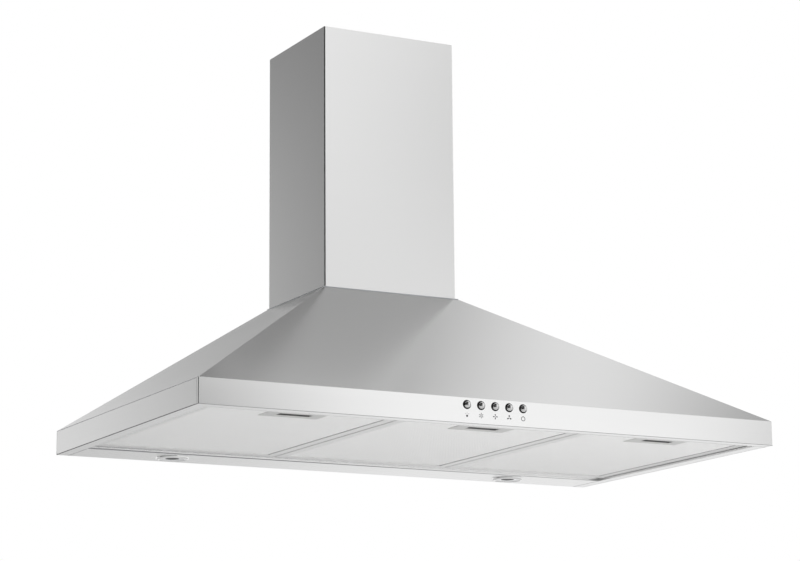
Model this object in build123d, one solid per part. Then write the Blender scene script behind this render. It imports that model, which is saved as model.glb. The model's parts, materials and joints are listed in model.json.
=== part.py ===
"""Wall-hung chimney range hood, built as separate pieces.

Units are millimetres. +X is to the right, +Y goes back to the wall and +Z is up.
The wall is the plane y = 0 and the underside rim is the plane z = 0.
"""

import os
from math import asin, cos, radians, sin, sqrt

from build123d import *

# Driving dimensions of the canopy
canopy_width = 900.0
canopy_depth = 520.0
canopy_height = 245.0
band_height = 35.0
rim_width = 18.0
sheet = 0.8
neck_ledge = 3.0
neck_thickness = 1.0
lamp_panel_depth = 77.0
panel_ledge = 17.0
panel_upstand = 12.0

# Chimney covers
chimney_width = 220.0
chimney_depth = 196.0
chimney_height = 400.0
upper_top_gap = 4.0
chimney_bend = 1.8
chimney_return = 20.0
chimney_foot = 14.0
chimney_slide_gap = 1.0
bracket_height = 30.0
bracket_thickness = 1.5
bracket_drop = 12.0
bracket_hole_radius = 3.5
bracket_hole_spacing = 120.0

# Wall screws
wall_hole_radius = 4.0
wall_spacing_x = 240.0
wall_spacing_z = 90.0
wall_low_z = 100.0

# Grease filters
filter_gap = 2.0
filter_end_gap = 1.0
filter_lift = 3.2
filter_thickness = 7.8
frame_flange = 1.2
frame_wall = 1.5
frame_side_border = 14.0
frame_front_border = 22.0
frame_back_border = 12.0
mesh_layer = 0.5
mesh_layers = 3
mesh_edge_gap = 0.2
hook_spread = 160.0
hook_width = 30.0
hook_thickness = 1.2
hook_reach = 7.0

# Filter latches
latch_width = 86.0
latch_depth = 36.0
latch_wall = 1.5
latch_slot_width = 48.0
latch_slot_depth = 14.0
latch_slot_front = 7.0
slider_width = 60.0
slider_front = 4.0
slider_depth = 22.0
slider_window_width = 46.0
slider_window_front = 4.5
slider_window_depth = 11.5
tongue_width = 16.0
tongue_height = 2.0
tongue_tip_gap = 0.4
latch_spring_width = 34.0
latch_spring_leaf = 0.4

# Lamps
lamp_offset_x = 285.0
lamp_offset_y = 42.0
lamp_radius = 25.0
lamp_bezel_height = 3.0
lamp_lens_radius = 19.0
lamp_lens_height = 1.8
lamp_body_radius = 22.0
lamp_body_height = 26.0
lamp_seat = 2.5

# Push buttons
button_count = 5
button_pitch = 22.0
button_centre_x = -11.0
button_z = 25.5
button_radius = 6.0
button_reach = 1.4
button_dome = 4.0
button_collar_extra = 1.2
button_collar_height = 2.0
button_stem_radius = 2.5
button_stem_length = 15.0
button_travel = 3.0
switch_depth = 24.0
switch_bottom_z = 14.0
switch_end = 18.0
switch_pocket = 9.0
stud_radius = 1.5
stud_end = 6.0

# Blower
blower_wall = 2.0
blower_neck = 18.0
blower_clear = 30.0
blower_flange = 12.0
blower_flange_height = 2.5
scroll_step = 14.0
tongue_offset = 26.0
tongue_round = 5.0
wheel_gap = 8.0
wheel_side_gap = 6.0
wheel_width = 96.0
blade_count = 32
blade_depth = 13.0
blade_thickness = 1.2
blade_sweep = 9.0
wheel_disc = 2.0
wheel_ring = 2.5
hub_radius = 12.0
hub_length = 18.0
shaft_radius = 4.0
inlet_ratio = 0.86
inlet_lip = 4.0
lug_radius = 5.0
lug_length = 8.0
motor_gap = 14.0
motor_length = 40.0
motor_disc_gap = 11.0
motor_boss_radius = 15.0
bearing_radius = 9.0
bearing_length = 8.0
bracket_arm_width = 14.0
bracket_arm_thickness = 1.5
bracket_over_boss = 5.0
bush_radius = 5.0
bush_over_inlet = 8.0
bush_head = 2.0

# Duct outlet
collar_radius = 75.0
collar_wall = 2.0
collar_height = 40.0
collar_flange_height = 2.0
damper_rise = 10.0
damper_rod_radius = 1.5
damper_thickness = 1.5
damper_edge_gap = 1.5
damper_ledge = 4.0
knuckle_wall = 1.9
knuckle_length = 16.0

# Electrical box and cable outlet
box_width = 80.0
box_height = 60.0
box_depth = 30.0
box_wall = 2.0
lid_rim = 4.0
box_left_x = 100.0
box_low_z = 60.0
capacitor_radius = 10.0
capacitor_length = 50.0
grommet_x = -84.0
grommet_y = -24.0
grommet_bore = 4.5
grommet_radius = 6.0
grommet_flange = 2.5
grommet_lip = 2.0

# Fasteners and working clearances
screw_radius = 2.0
screw_head_radius = 3.4
screw_head_height = 2.0
screw_slot = 0.8
hole_gap = 0.2
run_gap = 0.3
bearing_gap = 0.05

# Levels and edges worked out from the sizes above
half_width = canopy_width / 2
front_y = -canopy_depth
back_inner = -sheet
neck_half = chimney_width / 2 + neck_ledge
neck_front = -(chimney_depth + neck_ledge)
neck_under = canopy_height - neck_thickness
rim_lip = filter_lift + frame_flange
filter_top = filter_lift + filter_thickness
rim_inner_y = front_y + rim_width
rim_inner_x = half_width - rim_width
filter_front = rim_inner_y + filter_end_gap
ledge_top = filter_lift + sheet
ledge_front = -lamp_panel_depth - panel_ledge
filter_back = ledge_front - filter_end_gap
filter_width = (2 * rim_inner_x - 4 * filter_gap) / 3
window_front = filter_front + frame_front_border
window_back = filter_back - frame_back_border
pocket_low = filter_lift + frame_flange
pocket_high = filter_top - frame_flange
hook_y = filter_back + hook_reach
hook_low = ledge_top + run_gap
collar_y = -chimney_depth / 2
collar_inner = collar_radius - collar_wall


def block(x0, x1, y0, y1, z0, z1):
    """Box between two corners."""
    middle = Pos((x0 + x1) / 2, (y0 + y1) / 2, (z0 + z1) / 2)
    return middle * Box(x1 - x0, y1 - y0, z1 - z0)


def rod_x(radius, x0, x1, y, z):
    """Round bar along X."""
    return Pos((x0 + x1) / 2, y, z) * Rot(0, 90, 0) * Cylinder(radius, x1 - x0)


def rod_y(radius, x, y0, y1, z):
    """Round bar along Y."""
    return Pos(x, (y0 + y1) / 2, z) * Rot(-90, 0, 0) * Cylinder(radius, y1 - y0)


def rod_z(radius, x, y, z0, z1):
    """Round bar along Z."""
    return Pos(x, y, (z0 + z1) / 2) * Cylinder(radius, z1 - z0)


def screw(length, radius=screw_radius):
    """Pan-head screw along Z with the underside of its head at z = 0."""
    head_radius = radius * screw_head_radius / screw_radius
    head = rod_z(head_radius, 0, 0, 0, screw_head_height)
    head = fillet(head.edges().group_by(Axis.Z)[-1], screw_head_height * 0.4)
    arm = head_radius * 0.55
    cut = screw_slot / 2
    cross = block(-arm, arm, -cut, cut, screw_head_height * 0.5, screw_head_height * 2)
    cross = cross + Rot(0, 0, 90) * cross
    return head + rod_z(radius, 0, 0, -length, 0) - cross


def spread(pieces):
    """Separate solids held in one node."""
    solids = []
    for piece in pieces:
        solids.extend(piece.solids())
    return Compound(solids)


def flat_face(points):
    """Face inside a closed outline of corner points."""
    return make_face(Polyline(*points, close=True))


# Canopy sheets
front_run = neck_front - front_y
side_run = half_width - neck_half
canopy_rise = neck_under - band_height
front_inset = sheet * sqrt(front_run**2 + canopy_rise**2) / canopy_rise
side_inset = sheet * sqrt(side_run**2 + canopy_rise**2) / canopy_rise


def sloped_sheet(low, high):
    """Flat sheet between a section at the band and a section at the neck."""
    low_wire = Wire.make_polygon([(x, y, band_height) for x, y in low])
    high_wire = Wire.make_polygon([(x, y, neck_under) for x, y in high])
    return Solid.make_loft([low_wire, high_wire], ruled=True)


def canopy_front_sheet():
    def section(half, front):
        inner_half = half - side_inset
        inner_front = front + front_inset
        return [(-half, front), (half, front), (inner_half, inner_front), (-inner_half, inner_front)]

    return sloped_sheet(section(half_width, front_y), section(neck_half, neck_front))


def canopy_side_sheet(side):
    def section(half, front):
        outer = side * half
        inner = side * (half - side_inset)
        return [(outer, front), (inner, front + front_inset), (inner, back_inner), (outer, back_inner)]

    return sloped_sheet(section(half_width, front_y), section(neck_half, neck_front))


# Band, rim and panels
button_xs = [button_centre_x + button_pitch * (i - (button_count - 1) / 2) for i in range(button_count)]
fascia_inner = front_y + sheet
switch_back = fascia_inner + switch_depth
switch_half = button_pitch * (button_count - 1) / 2 + switch_end
stud_xs = [button_centre_x - switch_half + stud_end, button_centre_x + switch_half - stud_end]
nut_height = 2.4
button_hole = button_radius + run_gap


def front_fascia_part():
    fascia = block(-half_width, half_width, front_y, fascia_inner, 0, band_height)
    for x in button_xs:
        fascia -= rod_y(button_hole, x, front_y - 1, fascia_inner + 1, button_z)
    for x in stud_xs:
        fascia += rod_y(stud_radius, x, fascia_inner, switch_back + nut_height + 1, button_z)
    return fascia


def side_band_part(side):
    outer = side * half_width
    inner = side * (half_width - sheet)
    return block(min(outer, inner), max(outer, inner), fascia_inner, back_inner, 0, band_height)


def rail_section(width):
    """Folded channel, open upwards, from u = 0 outside to u = width inside."""
    points = [
        (0, 0),
        (width, 0),
        (width, rim_lip),
        (width - sheet, rim_lip),
        (width - sheet, sheet),
        (sheet, sheet),
        (sheet, rim_lip),
        (0, rim_lip),
    ]
    return flat_face(points)


def rim_rail_parts():
    width = rim_width - sheet
    start = half_width - sheet
    front = extrude(Plane.YZ * rail_section(width), amount=2 * start, dir=(1, 0, 0))
    front = Pos(-start, fascia_inner, 0) * front
    length = back_inner - rim_inner_y
    left = extrude(Plane.XZ * rail_section(width), amount=length, dir=(0, 1, 0))
    left = Pos(-start, rim_inner_y, 0) * left
    right = mirror(left, about=Plane.YZ)
    return spread([front, left, right])


def filter_centre(index):
    return (index - 1) * (filter_width + filter_gap)


def hook_centres(index):
    centre = filter_centre(index)
    return [centre - hook_spread / 2, centre + hook_spread / 2]


lamp_xs = [-lamp_offset_x, lamp_offset_x]
lamp_y = -lamp_offset_y


def lamp_panel_part():
    front = -lamp_panel_depth
    panel = block(-rim_inner_x, rim_inner_x, front, back_inner, 0, sheet)
    panel += block(-rim_inner_x, rim_inner_x, front, front + sheet, 0, ledge_top)
    panel += block(-rim_inner_x, rim_inner_x, ledge_front, front + sheet, filter_lift, ledge_top)
    panel += block(-rim_inner_x, rim_inner_x, back_inner - sheet, back_inner, 0, panel_upstand)
    for x in lamp_xs:
        panel -= rod_z(lamp_radius - lamp_seat, x, lamp_y, -1, rim_lip + 1)
    return panel


def back_plate_part():
    outline = [
        (-half_width, 0),
        (half_width, 0),
        (half_width, band_height),
        (neck_half, neck_under),
        (-neck_half, neck_under),
        (-half_width, band_height),
    ]
    plate = extrude(Plane.XZ * flat_face(outline), amount=sheet, dir=(0, -1, 0))
    for x in (-wall_spacing_x / 2, wall_spacing_x / 2):
        for z in (wall_low_z, wall_low_z + wall_spacing_z):
            plate -= rod_y(wall_hole_radius, x, -sheet - 1, 1, z)
    return plate


# Blower outline, worked out from the height between the filters and the neck
blower_room = neck_under - blower_neck - filter_top - blower_clear
arc_1 = (blower_room - scroll_step - 2 * blower_wall) / 2
arc_2 = arc_1 + scroll_step
arc_3 = arc_2 + scroll_step
wheel_radius = arc_1 - scroll_step / 2 - wheel_gap
blower_half = wheel_width / 2 + wheel_side_gap
back_reach = scroll_step / 2 + arc_3
wheel_y = collar_y - (tongue_offset + back_reach) / 2
wheel_z = neck_under - blower_neck - blower_wall - arc_1 + scroll_step / 2
centre_1 = (wheel_y - scroll_step / 2, wheel_z - scroll_step / 2)
centre_2 = (wheel_y + scroll_step / 2, wheel_z - scroll_step / 2)
centre_3 = (wheel_y + scroll_step / 2, wheel_z + scroll_step / 2)
channel_half = (back_reach - tongue_offset) / 2
outlet_screw_x = blower_half + blower_wall + blower_flange / 2
outlet_screw_y = channel_half + blower_wall + blower_flange / 2
outlet_spots = [(a * outlet_screw_x, collar_y + b * outlet_screw_y) for a in (-1, 1) for b in (-1, 1)]
collar_flange_radius = sqrt(outlet_screw_x**2 + outlet_screw_y**2) + screw_head_radius + 1.5
foot_screw_x = chimney_width / 2 - sheet - chimney_foot * 0.6
foot_spots = [(a * foot_screw_x, b * chimney_depth) for a in (-1, 1) for b in (-0.2, -0.8)]
lug_spots = [
    (centre_1, arc_1, 165),
    (centre_2, arc_2, 225),
    (centre_3, arc_3, 315),
]


def neck_plate_part():
    plate = block(-neck_half, neck_half, neck_front, 0, neck_under, canopy_height)
    plate -= rod_z(collar_inner, 0, collar_y, neck_under - 1, canopy_height + 1)
    plate -= rod_z(grommet_radius, grommet_x, grommet_y, neck_under - 1, canopy_height + 1)
    for x, y in outlet_spots + foot_spots:
        plate -= rod_z(screw_radius + hole_gap, x, y, neck_under - 1, canopy_height + 1)
    return plate


# Chimney covers
lower_half = chimney_width / 2
upper_half = lower_half - sheet - chimney_slide_gap
upper_front = -chimney_depth + sheet + chimney_slide_gap
upper_back = -sheet - chimney_slide_gap
upper_bottom = canopy_height + sheet
hood_top = canopy_height + chimney_height
upper_top = hood_top - upper_top_gap


def cover_section(half, front, back):
    """Folded cover with two returns along the wall."""
    middle = Pos(0, (front + back) / 2)
    depth = back - front
    outer = middle * RectangleRounded(2 * half, depth, chimney_bend)
    inner = middle * RectangleRounded(2 * (half - sheet), depth - 2 * sheet, chimney_bend - sheet)
    slot = Pos(0, back) * Rectangle(2 * (half - chimney_return), 4 * chimney_bend)
    return outer - inner - slot


def chimney_lower_part():
    section = cover_section(lower_half, -chimney_depth, 0)
    cover = Pos(0, 0, canopy_height) * extrude(section, amount=chimney_height)
    wall = lower_half - sheet
    for side in (-1, 1):
        inner = side * (wall - chimney_foot)
        outer = side * (wall + sheet / 2)
        cover += block(
            min(inner, outer),
            max(inner, outer),
            -chimney_depth + chimney_bend,
            -chimney_bend,
            canopy_height,
            canopy_height + sheet,
        )
    for x, y in foot_spots:
        cover -= rod_z(screw_radius + hole_gap, x, y, canopy_height - 1, canopy_height + sheet + 1)
    return cover


def chimney_upper_part():
    section = cover_section(upper_half, upper_front, upper_back)
    return Pos(0, 0, upper_bottom) * extrude(section, amount=upper_top - upper_bottom)


bracket_back = upper_back - sheet
bracket_front = bracket_back - bracket_thickness
bracket_top = upper_top - bracket_drop
bracket_z = bracket_top - bracket_height / 2
bracket_half = upper_half - chimney_bend - run_gap
bracket_screw_x = upper_half - chimney_return / 2


def chimney_bracket_part():
    strip = block(
        -bracket_half, bracket_half, bracket_front, bracket_back, bracket_top - bracket_height, bracket_top
    )
    for x in (-bracket_hole_spacing / 2, bracket_hole_spacing / 2):
        strip -= rod_y(bracket_hole_radius, x, bracket_front - 1, bracket_back + 1, bracket_z)
    for x in (-bracket_screw_x, bracket_screw_x):
        strip -= rod_y(screw_radius + hole_gap, x, bracket_front - 1, bracket_back + 1, bracket_z)
    return strip


def bracket_screw_parts():
    pieces = []
    for x in (-bracket_screw_x, bracket_screw_x):
        pieces.append(Pos(x, bracket_front, bracket_z) * Rot(90, 0, 0) * screw(bracket_thickness))
    return spread(pieces)


def neck_screw_parts():
    length = sheet + neck_thickness + 4
    return spread([Pos(x, y, canopy_height + sheet) * screw(length) for x, y in foot_spots])


# Blower housing
def scroll_face(grow, top):
    """Spiral housing outline in the YZ plane, of three quarter arcs and an outlet neck."""
    y1, z1 = centre_1
    y2, z2 = centre_2
    y3, z3 = centre_3
    r1 = arc_1 + grow
    r2 = arc_2 + grow
    r3 = arc_3 + grow
    slant = sqrt(0.5)
    tongue_y = wheel_y + tongue_offset - grow
    arch_z = z1 + r1
    edges = [
        Line((tongue_y, top), (tongue_y, arch_z)),
        Line((tongue_y, arch_z), (y1, arch_z)),
        ThreePointArc((y1, arch_z), (y1 - r1 * slant, z1 + r1 * slant), (y1 - r1, z1)),
        ThreePointArc((y2 - r2, z2), (y2 - r2 * slant, z2 - r2 * slant), (y2, z2 - r2)),
        ThreePointArc((y3, z3 - r3), (y3 + r3 * slant, z3 - r3 * slant), (y3 + r3, z3)),
        Line((y3 + r3, z3), (y3 + r3, top)),
        Line((y3 + r3, top), (tongue_y, top)),
    ]
    face = make_face(Curve() + edges)
    nose = face.vertices().sort_by_distance(Vector(tongue_y, arch_z, 0))[0]
    return Plane.YZ * fillet(nose, tongue_round + grow)


inlet_radius = wheel_radius * inlet_ratio
inlet_outer = inlet_radius + inlet_lip
housing_outer = blower_half + blower_wall
bush_spot = inlet_outer + bush_over_inlet


def lug_place(spot):
    centre, radius, angle = spot
    reach = radius + blower_wall + lug_radius - blower_wall * 0.75
    return centre[0] + reach * cos(radians(angle)), centre[1] + reach * sin(radians(angle))


def scroll_part(side):
    out = (side, 0, 0)
    shell = extrude(scroll_face(blower_wall, neck_under), amount=housing_outer, dir=out)
    flange_x = side * (housing_outer + blower_flange)
    shell += block(
        min(0, flange_x),
        max(0, flange_x),
        collar_y - channel_half - blower_wall - blower_flange,
        collar_y + channel_half + blower_wall + blower_flange,
        neck_under - blower_flange_height,
        neck_under,
    )
    for spot in lug_spots:
        y, z = lug_place(spot)
        shell += rod_x(lug_radius, min(0, side * lug_length), max(0, side * lug_length), y, z)
    lip_x = side * (housing_outer + inlet_lip)
    near = side * (housing_outer - blower_wall / 2)
    shell += rod_x(inlet_outer, min(near, lip_x), max(near, lip_x), wheel_y, wheel_z)
    shell -= extrude(scroll_face(0, neck_under + 1), amount=blower_half, dir=out)
    far = side * (housing_outer + inlet_lip + 1)
    shell -= rod_x(inlet_radius, min(0, far), max(0, far), wheel_y, wheel_z)
    for spot in lug_spots:
        y, z = lug_place(spot)
        shell -= rod_x(screw_radius + hole_gap, -lug_length - 1, lug_length + 1, y, z)
    for x, y in outlet_spots:
        shell -= rod_z(screw_radius + hole_gap, x, y, neck_under - blower_flange_height - 1, neck_under + 1)
    if side < 0:
        for y, z in bush_places():
            shell -= rod_x(screw_radius, -housing_outer - 1, -blower_half + 1, y, z)
    return shell


def scroll_screw_parts():
    pieces = []
    for spot in lug_spots:
        y, z = lug_place(spot)
        pieces.append(Pos(lug_length, y, z) * Rot(0, 90, 0) * screw(2 * lug_length))
    return spread(pieces)


# Wheel, shaft and motor
def polar(radius, angle):
    return wheel_y + radius * cos(radians(angle)), wheel_z + radius * sin(radians(angle))


blade_inner = wheel_radius - blade_depth
blade_outer = wheel_radius - blade_thickness / 2
wheel_half = wheel_width / 2
hub_start = wheel_disc / 2 - hub_length / 2
hub_end = hub_start + hub_length
nut_radius = 7.0
impeller_nut_height = 6.0
motor_inner_x = -motor_disc_gap
motor_outer_x = motor_inner_x - motor_length
arm_inner_x = -(housing_outer + inlet_lip + 2)
arm_outer_x = arm_inner_x - bracket_arm_thickness
motor_radius = blade_inner - motor_gap
shaft_start = motor_outer_x + 1


def bush_places():
    return [polar(bush_spot, angle) for angle in (90, 210, 330)]


def blade_face(angle):
    middle = (blade_inner + blade_outer) / 2
    bend = blade_sweep * 0.22
    twist_in = blade_thickness / blade_inner * 57.3
    twist_out = blade_thickness / blade_outer * 57.3
    twist_mid = blade_thickness / middle * 57.3
    lead = angle + blade_sweep
    edges = [
        ThreePointArc(polar(blade_inner, angle), polar(middle, angle + bend), polar(blade_outer, lead)),
        Line(polar(blade_outer, lead), polar(blade_outer, lead + twist_out)),
        ThreePointArc(
            polar(blade_outer, lead + twist_out),
            polar(middle, angle + bend + twist_mid),
            polar(blade_inner, angle + twist_in),
        ),
        Line(polar(blade_inner, angle + twist_in), polar(blade_inner, angle)),
    ]
    return Plane.YZ * make_face(Curve() + edges)


def impeller_part():
    disc = rod_x(wheel_radius, -wheel_disc / 2, wheel_disc / 2, wheel_y, wheel_z)
    hub = rod_x(hub_radius, hub_start, hub_end, wheel_y, wheel_z)
    ring_inner = blade_inner + blade_depth * 0.25
    rings = []
    for side in (-1, 1):
        x0 = min(side * wheel_half, side * (wheel_half - wheel_ring))
        ring = rod_x(wheel_radius, x0, x0 + wheel_ring, wheel_y, wheel_z)
        ring -= rod_x(ring_inner, x0 - 1, x0 + wheel_ring + 1, wheel_y, wheel_z)
        rings.append(ring)
    blades = []
    for i in range(blade_count):
        face = blade_face(360 / blade_count * i)
        blades.append(Pos(-wheel_half, 0, 0) * extrude(face, amount=wheel_width, dir=(1, 0, 0)))
    wheel = disc + [hub] + rings + blades
    return wheel - rod_x(shaft_radius, hub_start - 1, hub_end + 1, wheel_y, wheel_z)


def motor_shaft_part():
    end = hub_end + impeller_nut_height + 2
    return rod_x(shaft_radius, shaft_start, end, wheel_y, wheel_z)


def impeller_nut_part():
    hexagon = Plane.YZ * (Pos(wheel_y, wheel_z) * RegularPolygon(nut_radius, 6))
    nut = Pos(hub_end, 0, 0) * extrude(hexagon, amount=impeller_nut_height, dir=(1, 0, 0))
    return nut - rod_x(shaft_radius, hub_end - 1, hub_end + impeller_nut_height + 1, wheel_y, wheel_z)


def motor_part():
    can = rod_x(motor_radius, motor_outer_x, motor_inner_x, wheel_y, wheel_z)
    can = fillet(can.edges().filter_by(GeomType.CIRCLE), 3)
    can += rod_x(motor_boss_radius, arm_inner_x, motor_outer_x + 1, wheel_y, wheel_z)
    can -= rod_x(shaft_radius + 2, shaft_start - 1, motor_inner_x + 1, wheel_y, wheel_z)
    can -= rod_x(bearing_radius, shaft_start, shaft_start + bearing_length, wheel_y, wheel_z)
    can -= rod_x(bearing_radius, motor_inner_x - bearing_length, motor_inner_x + 1, wheel_y, wheel_z)
    return can


def motor_bearing_parts():
    pieces = []
    for x in (shaft_start, motor_inner_x - bearing_length):
        end = x + bearing_length
        bush = rod_x(bearing_radius, x, end, wheel_y, wheel_z)
        bush -= rod_x(shaft_radius + bearing_gap, x - 1, end + 1, wheel_y, wheel_z)
        pieces.append(bush)
    return spread(pieces)


def motor_bracket_part():
    plate = rod_x(motor_boss_radius + bracket_over_boss, arm_outer_x, arm_inner_x, wheel_y, wheel_z)
    reach = bush_spot + bracket_arm_width / 2
    for angle in (90, 210, 330):
        arm = block(arm_outer_x, arm_inner_x, 0, reach, -bracket_arm_width / 2, bracket_arm_width / 2)
        plate += Pos(0, wheel_y, wheel_z) * Rot(angle, 0, 0) * arm
    for y, z in bush_places():
        plate -= rod_x(screw_radius, arm_outer_x - 1, arm_inner_x + 1, y, z)
    return plate


def motor_bush_parts():
    pieces = []
    for y, z in bush_places():
        bush = rod_x(bush_radius, arm_inner_x, -housing_outer, y, z)
        bush += rod_x(screw_radius, arm_outer_x - bush_head, -blower_half, y, z)
        bush += rod_x(bush_radius * 0.8, arm_outer_x - bush_head, arm_outer_x, y, z)
        pieces.append(bush)
    return spread(pieces)


# Duct outlet and its flaps
damper_z = canopy_height + damper_rise
damper_radius = collar_inner - damper_edge_gap
knuckle_bore = damper_rod_radius + bearing_gap * 2
knuckle_radius = knuckle_bore + knuckle_wall
rod_half = collar_radius - collar_wall * 0.25
damper_low = damper_z - damper_thickness / 2


def duct_collar_part():
    flange_top = canopy_height + collar_flange_height
    collar = rod_z(collar_radius, 0, collar_y, canopy_height, canopy_height + collar_height)
    collar += rod_z(collar_flange_radius, 0, collar_y, canopy_height, flange_top)
    collar -= rod_z(collar_inner, 0, collar_y, canopy_height - 1, canopy_height + collar_height + 1)
    ledge_top = damper_low - run_gap
    ledge = rod_z(collar_inner + collar_wall / 2, 0, collar_y, ledge_top - 2, ledge_top)
    ledge -= rod_z(collar_inner - damper_ledge, 0, collar_y, ledge_top - 3, ledge_top + 1)
    collar += ledge
    collar -= rod_x(damper_rod_radius, -rod_half, rod_half, collar_y, damper_z)
    for x, y in outlet_spots:
        collar -= rod_z(screw_radius + hole_gap, x, y, canopy_height - 1, flange_top + 1)
    return collar


def damper_rod_part():
    return rod_x(damper_rod_radius, -rod_half, rod_half, collar_y, damper_z)


def damper_flap_part(side, starts):
    """Half disc on the front (-1) or rear (1) of the rod, with its knuckles at the given places."""
    clear = knuckle_radius + run_gap * 2
    top = damper_z + damper_thickness / 2
    flap = rod_z(damper_radius, 0, collar_y, damper_low, top)
    cut_y = collar_y + side * clear
    limit = collar_y - side * 2 * damper_radius
    flap -= block(
        -2 * damper_radius, 2 * damper_radius, min(cut_y, limit), max(cut_y, limit), damper_low - 1, top + 1
    )
    for start in starts:
        end = start + knuckle_length
        reach = collar_y + side * (clear + 1)
        flap += block(start, end, min(collar_y, reach), max(collar_y, reach), damper_low, top)
        flap += rod_x(knuckle_radius, start, end, collar_y, damper_z)
    for start in starts:
        flap -= rod_x(knuckle_bore, start - 1, start + knuckle_length + 1, collar_y, damper_z)
    return flap


front_knuckles = [-collar_inner * 0.75, collar_inner * 0.75 - knuckle_length]
rear_knuckles = [-collar_inner * 0.4, collar_inner * 0.4 - knuckle_length]


def outlet_screw_parts():
    length = collar_flange_height + neck_thickness + blower_flange_height + 2
    return spread([Pos(x, y, canopy_height + collar_flange_height) * screw(length) for x, y in outlet_spots])


# Electrical box and cable outlet
box_right_x = box_left_x + box_width
box_high_z = box_low_z + box_height
box_front = back_inner - box_depth
box_floor = back_inner - box_wall


def terminal_box_part():
    tray = block(box_left_x, box_right_x, box_front, back_inner, box_low_z, box_high_z)
    tray -= block(
        box_left_x + box_wall,
        box_right_x - box_wall,
        box_front - 1,
        box_floor,
        box_low_z + box_wall,
        box_high_z - box_wall,
    )
    lead_x = (box_left_x + box_right_x) / 2
    lead_y = (box_front + box_floor) / 2
    return tray - rod_z(box_depth * 0.2, lead_x, lead_y, box_high_z - box_wall - 1, box_high_z + 1)


def terminal_lid_part():
    lid = block(box_left_x, box_right_x, box_front - box_wall, box_front, box_low_z, box_high_z)
    inner_edge = box_wall + run_gap
    rim = block(
        box_left_x + inner_edge,
        box_right_x - inner_edge,
        box_front,
        box_front + lid_rim,
        box_low_z + inner_edge,
        box_high_z - inner_edge,
    )
    rim -= block(
        box_left_x + inner_edge + box_wall,
        box_right_x - inner_edge - box_wall,
        box_front - 1,
        box_front + lid_rim + 1,
        box_low_z + inner_edge + box_wall,
        box_high_z - inner_edge - box_wall,
    )
    return lid + rim


def capacitor_part():
    middle = (box_left_x + box_right_x) / 2
    y = box_floor - capacitor_radius
    z = box_low_z + box_wall + capacitor_radius
    can = rod_x(capacitor_radius, middle - capacitor_length / 2, middle + capacitor_length / 2, y, z)
    return fillet(can.edges().filter_by(GeomType.CIRCLE), 1.5)


def cable_grommet_part():
    low = neck_under - grommet_lip
    high = canopy_height + grommet_lip
    grommet = rod_z(grommet_radius, grommet_x, grommet_y, low, high)
    grommet += rod_z(grommet_radius + grommet_flange, grommet_x, grommet_y, low, neck_under)
    grommet += rod_z(grommet_radius + grommet_flange, grommet_x, grommet_y, canopy_height, high)
    return grommet - rod_z(grommet_bore, grommet_x, grommet_y, low - 1, high + 1)


# Push buttons and switch block
collar_start = fascia_inner + run_gap
collar_end = collar_start + button_collar_height
button_collar_radius = button_radius + button_collar_extra


def button_part(x):
    rim_y = front_y - button_reach
    tip_y = rim_y - button_dome
    ball = (button_radius**2 + button_dome**2) / (2 * button_dome)
    half_angle = asin(button_radius / ball) / 2
    middle = (ball * sin(half_angle), tip_y + ball * (1 - cos(half_angle)))
    stem_end = collar_end + button_stem_length
    edges = [
        ThreePointArc((0, tip_y), middle, (button_radius, rim_y)),
        Polyline(
            (button_radius, rim_y),
            (button_radius, collar_start),
            (button_collar_radius, collar_start),
            (button_collar_radius, collar_end),
            (button_stem_radius, collar_end),
            (button_stem_radius, stem_end),
            (0, stem_end),
            (0, tip_y),
        ),
    ]
    turned = revolve(make_face(Curve() + edges), axis=Axis.Y)
    return Pos(x, 0, button_z) * turned


def switch_block_part():
    low_x = button_centre_x - switch_half
    high_x = button_centre_x + switch_half
    body = block(low_x, high_x, fascia_inner, switch_back, switch_bottom_z, band_height - 1)
    pocket_radius = button_collar_radius + run_gap
    for x in button_xs:
        body -= rod_y(pocket_radius, x, fascia_inner - 1, fascia_inner + switch_pocket, button_z)
        body -= rod_y(button_stem_radius + run_gap, x, fascia_inner, switch_back + 1, button_z)
    for x in stud_xs:
        body -= rod_y(stud_radius + hole_gap, x, fascia_inner - 1, switch_back + 1, button_z)
    return body


def switch_nut_parts():
    pieces = []
    for x in stud_xs:
        hexagon = Plane.XZ * (Pos(x, button_z) * RegularPolygon(stud_radius * 2, 6))
        nut = Pos(0, switch_back, 0) * extrude(hexagon, amount=nut_height, dir=(0, 1, 0))
        pieces.append(nut - rod_y(stud_radius, x, switch_back - 1, switch_back + nut_height + 1, button_z))
    return spread(pieces)


# Lamps
def lamp_bezel_parts():
    pieces = []
    shoulder = lamp_bezel_height * 0.35
    for x in lamp_xs:
        ring = rod_z(lamp_radius, 0, 0, -lamp_bezel_height, 0)
        ring = fillet(ring.edges().group_by(Axis.Z)[0], lamp_bezel_height - shoulder)
        ring -= rod_z(lamp_lens_radius, 0, 0, -lamp_lens_height, 1)
        ring -= rod_z(lamp_lens_radius - lamp_seat, 0, 0, -lamp_bezel_height - 1, 1)
        pieces.append(Pos(x, lamp_y, 0) * ring)
    return spread(pieces)


def lamp_lens_parts():
    return spread([rod_z(lamp_lens_radius, x, lamp_y, -lamp_lens_height, 0) for x in lamp_xs])


reflector_height = lamp_body_height * 0.6


def lamp_body_parts():
    pieces = []
    mouth = lamp_lens_radius - lamp_seat / 2
    throat = mouth * 0.4
    reach = lamp_radius + 3
    for x in lamp_xs:
        body = rod_z(lamp_body_radius, 0, 0, 0, lamp_body_height)
        body -= Pos(0, 0, reflector_height / 2) * Cone(mouth, throat, reflector_height)
        for side in (-1, 1):
            y0 = min(side * reach, side * (lamp_body_radius - 2))
            y1 = max(side * reach, side * (lamp_body_radius - 2))
            body += block(-5, 5, y0, y1, sheet, sheet + 1.6)
        pieces.append(Pos(x, lamp_y, 0) * body)
    return spread(pieces)


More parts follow.
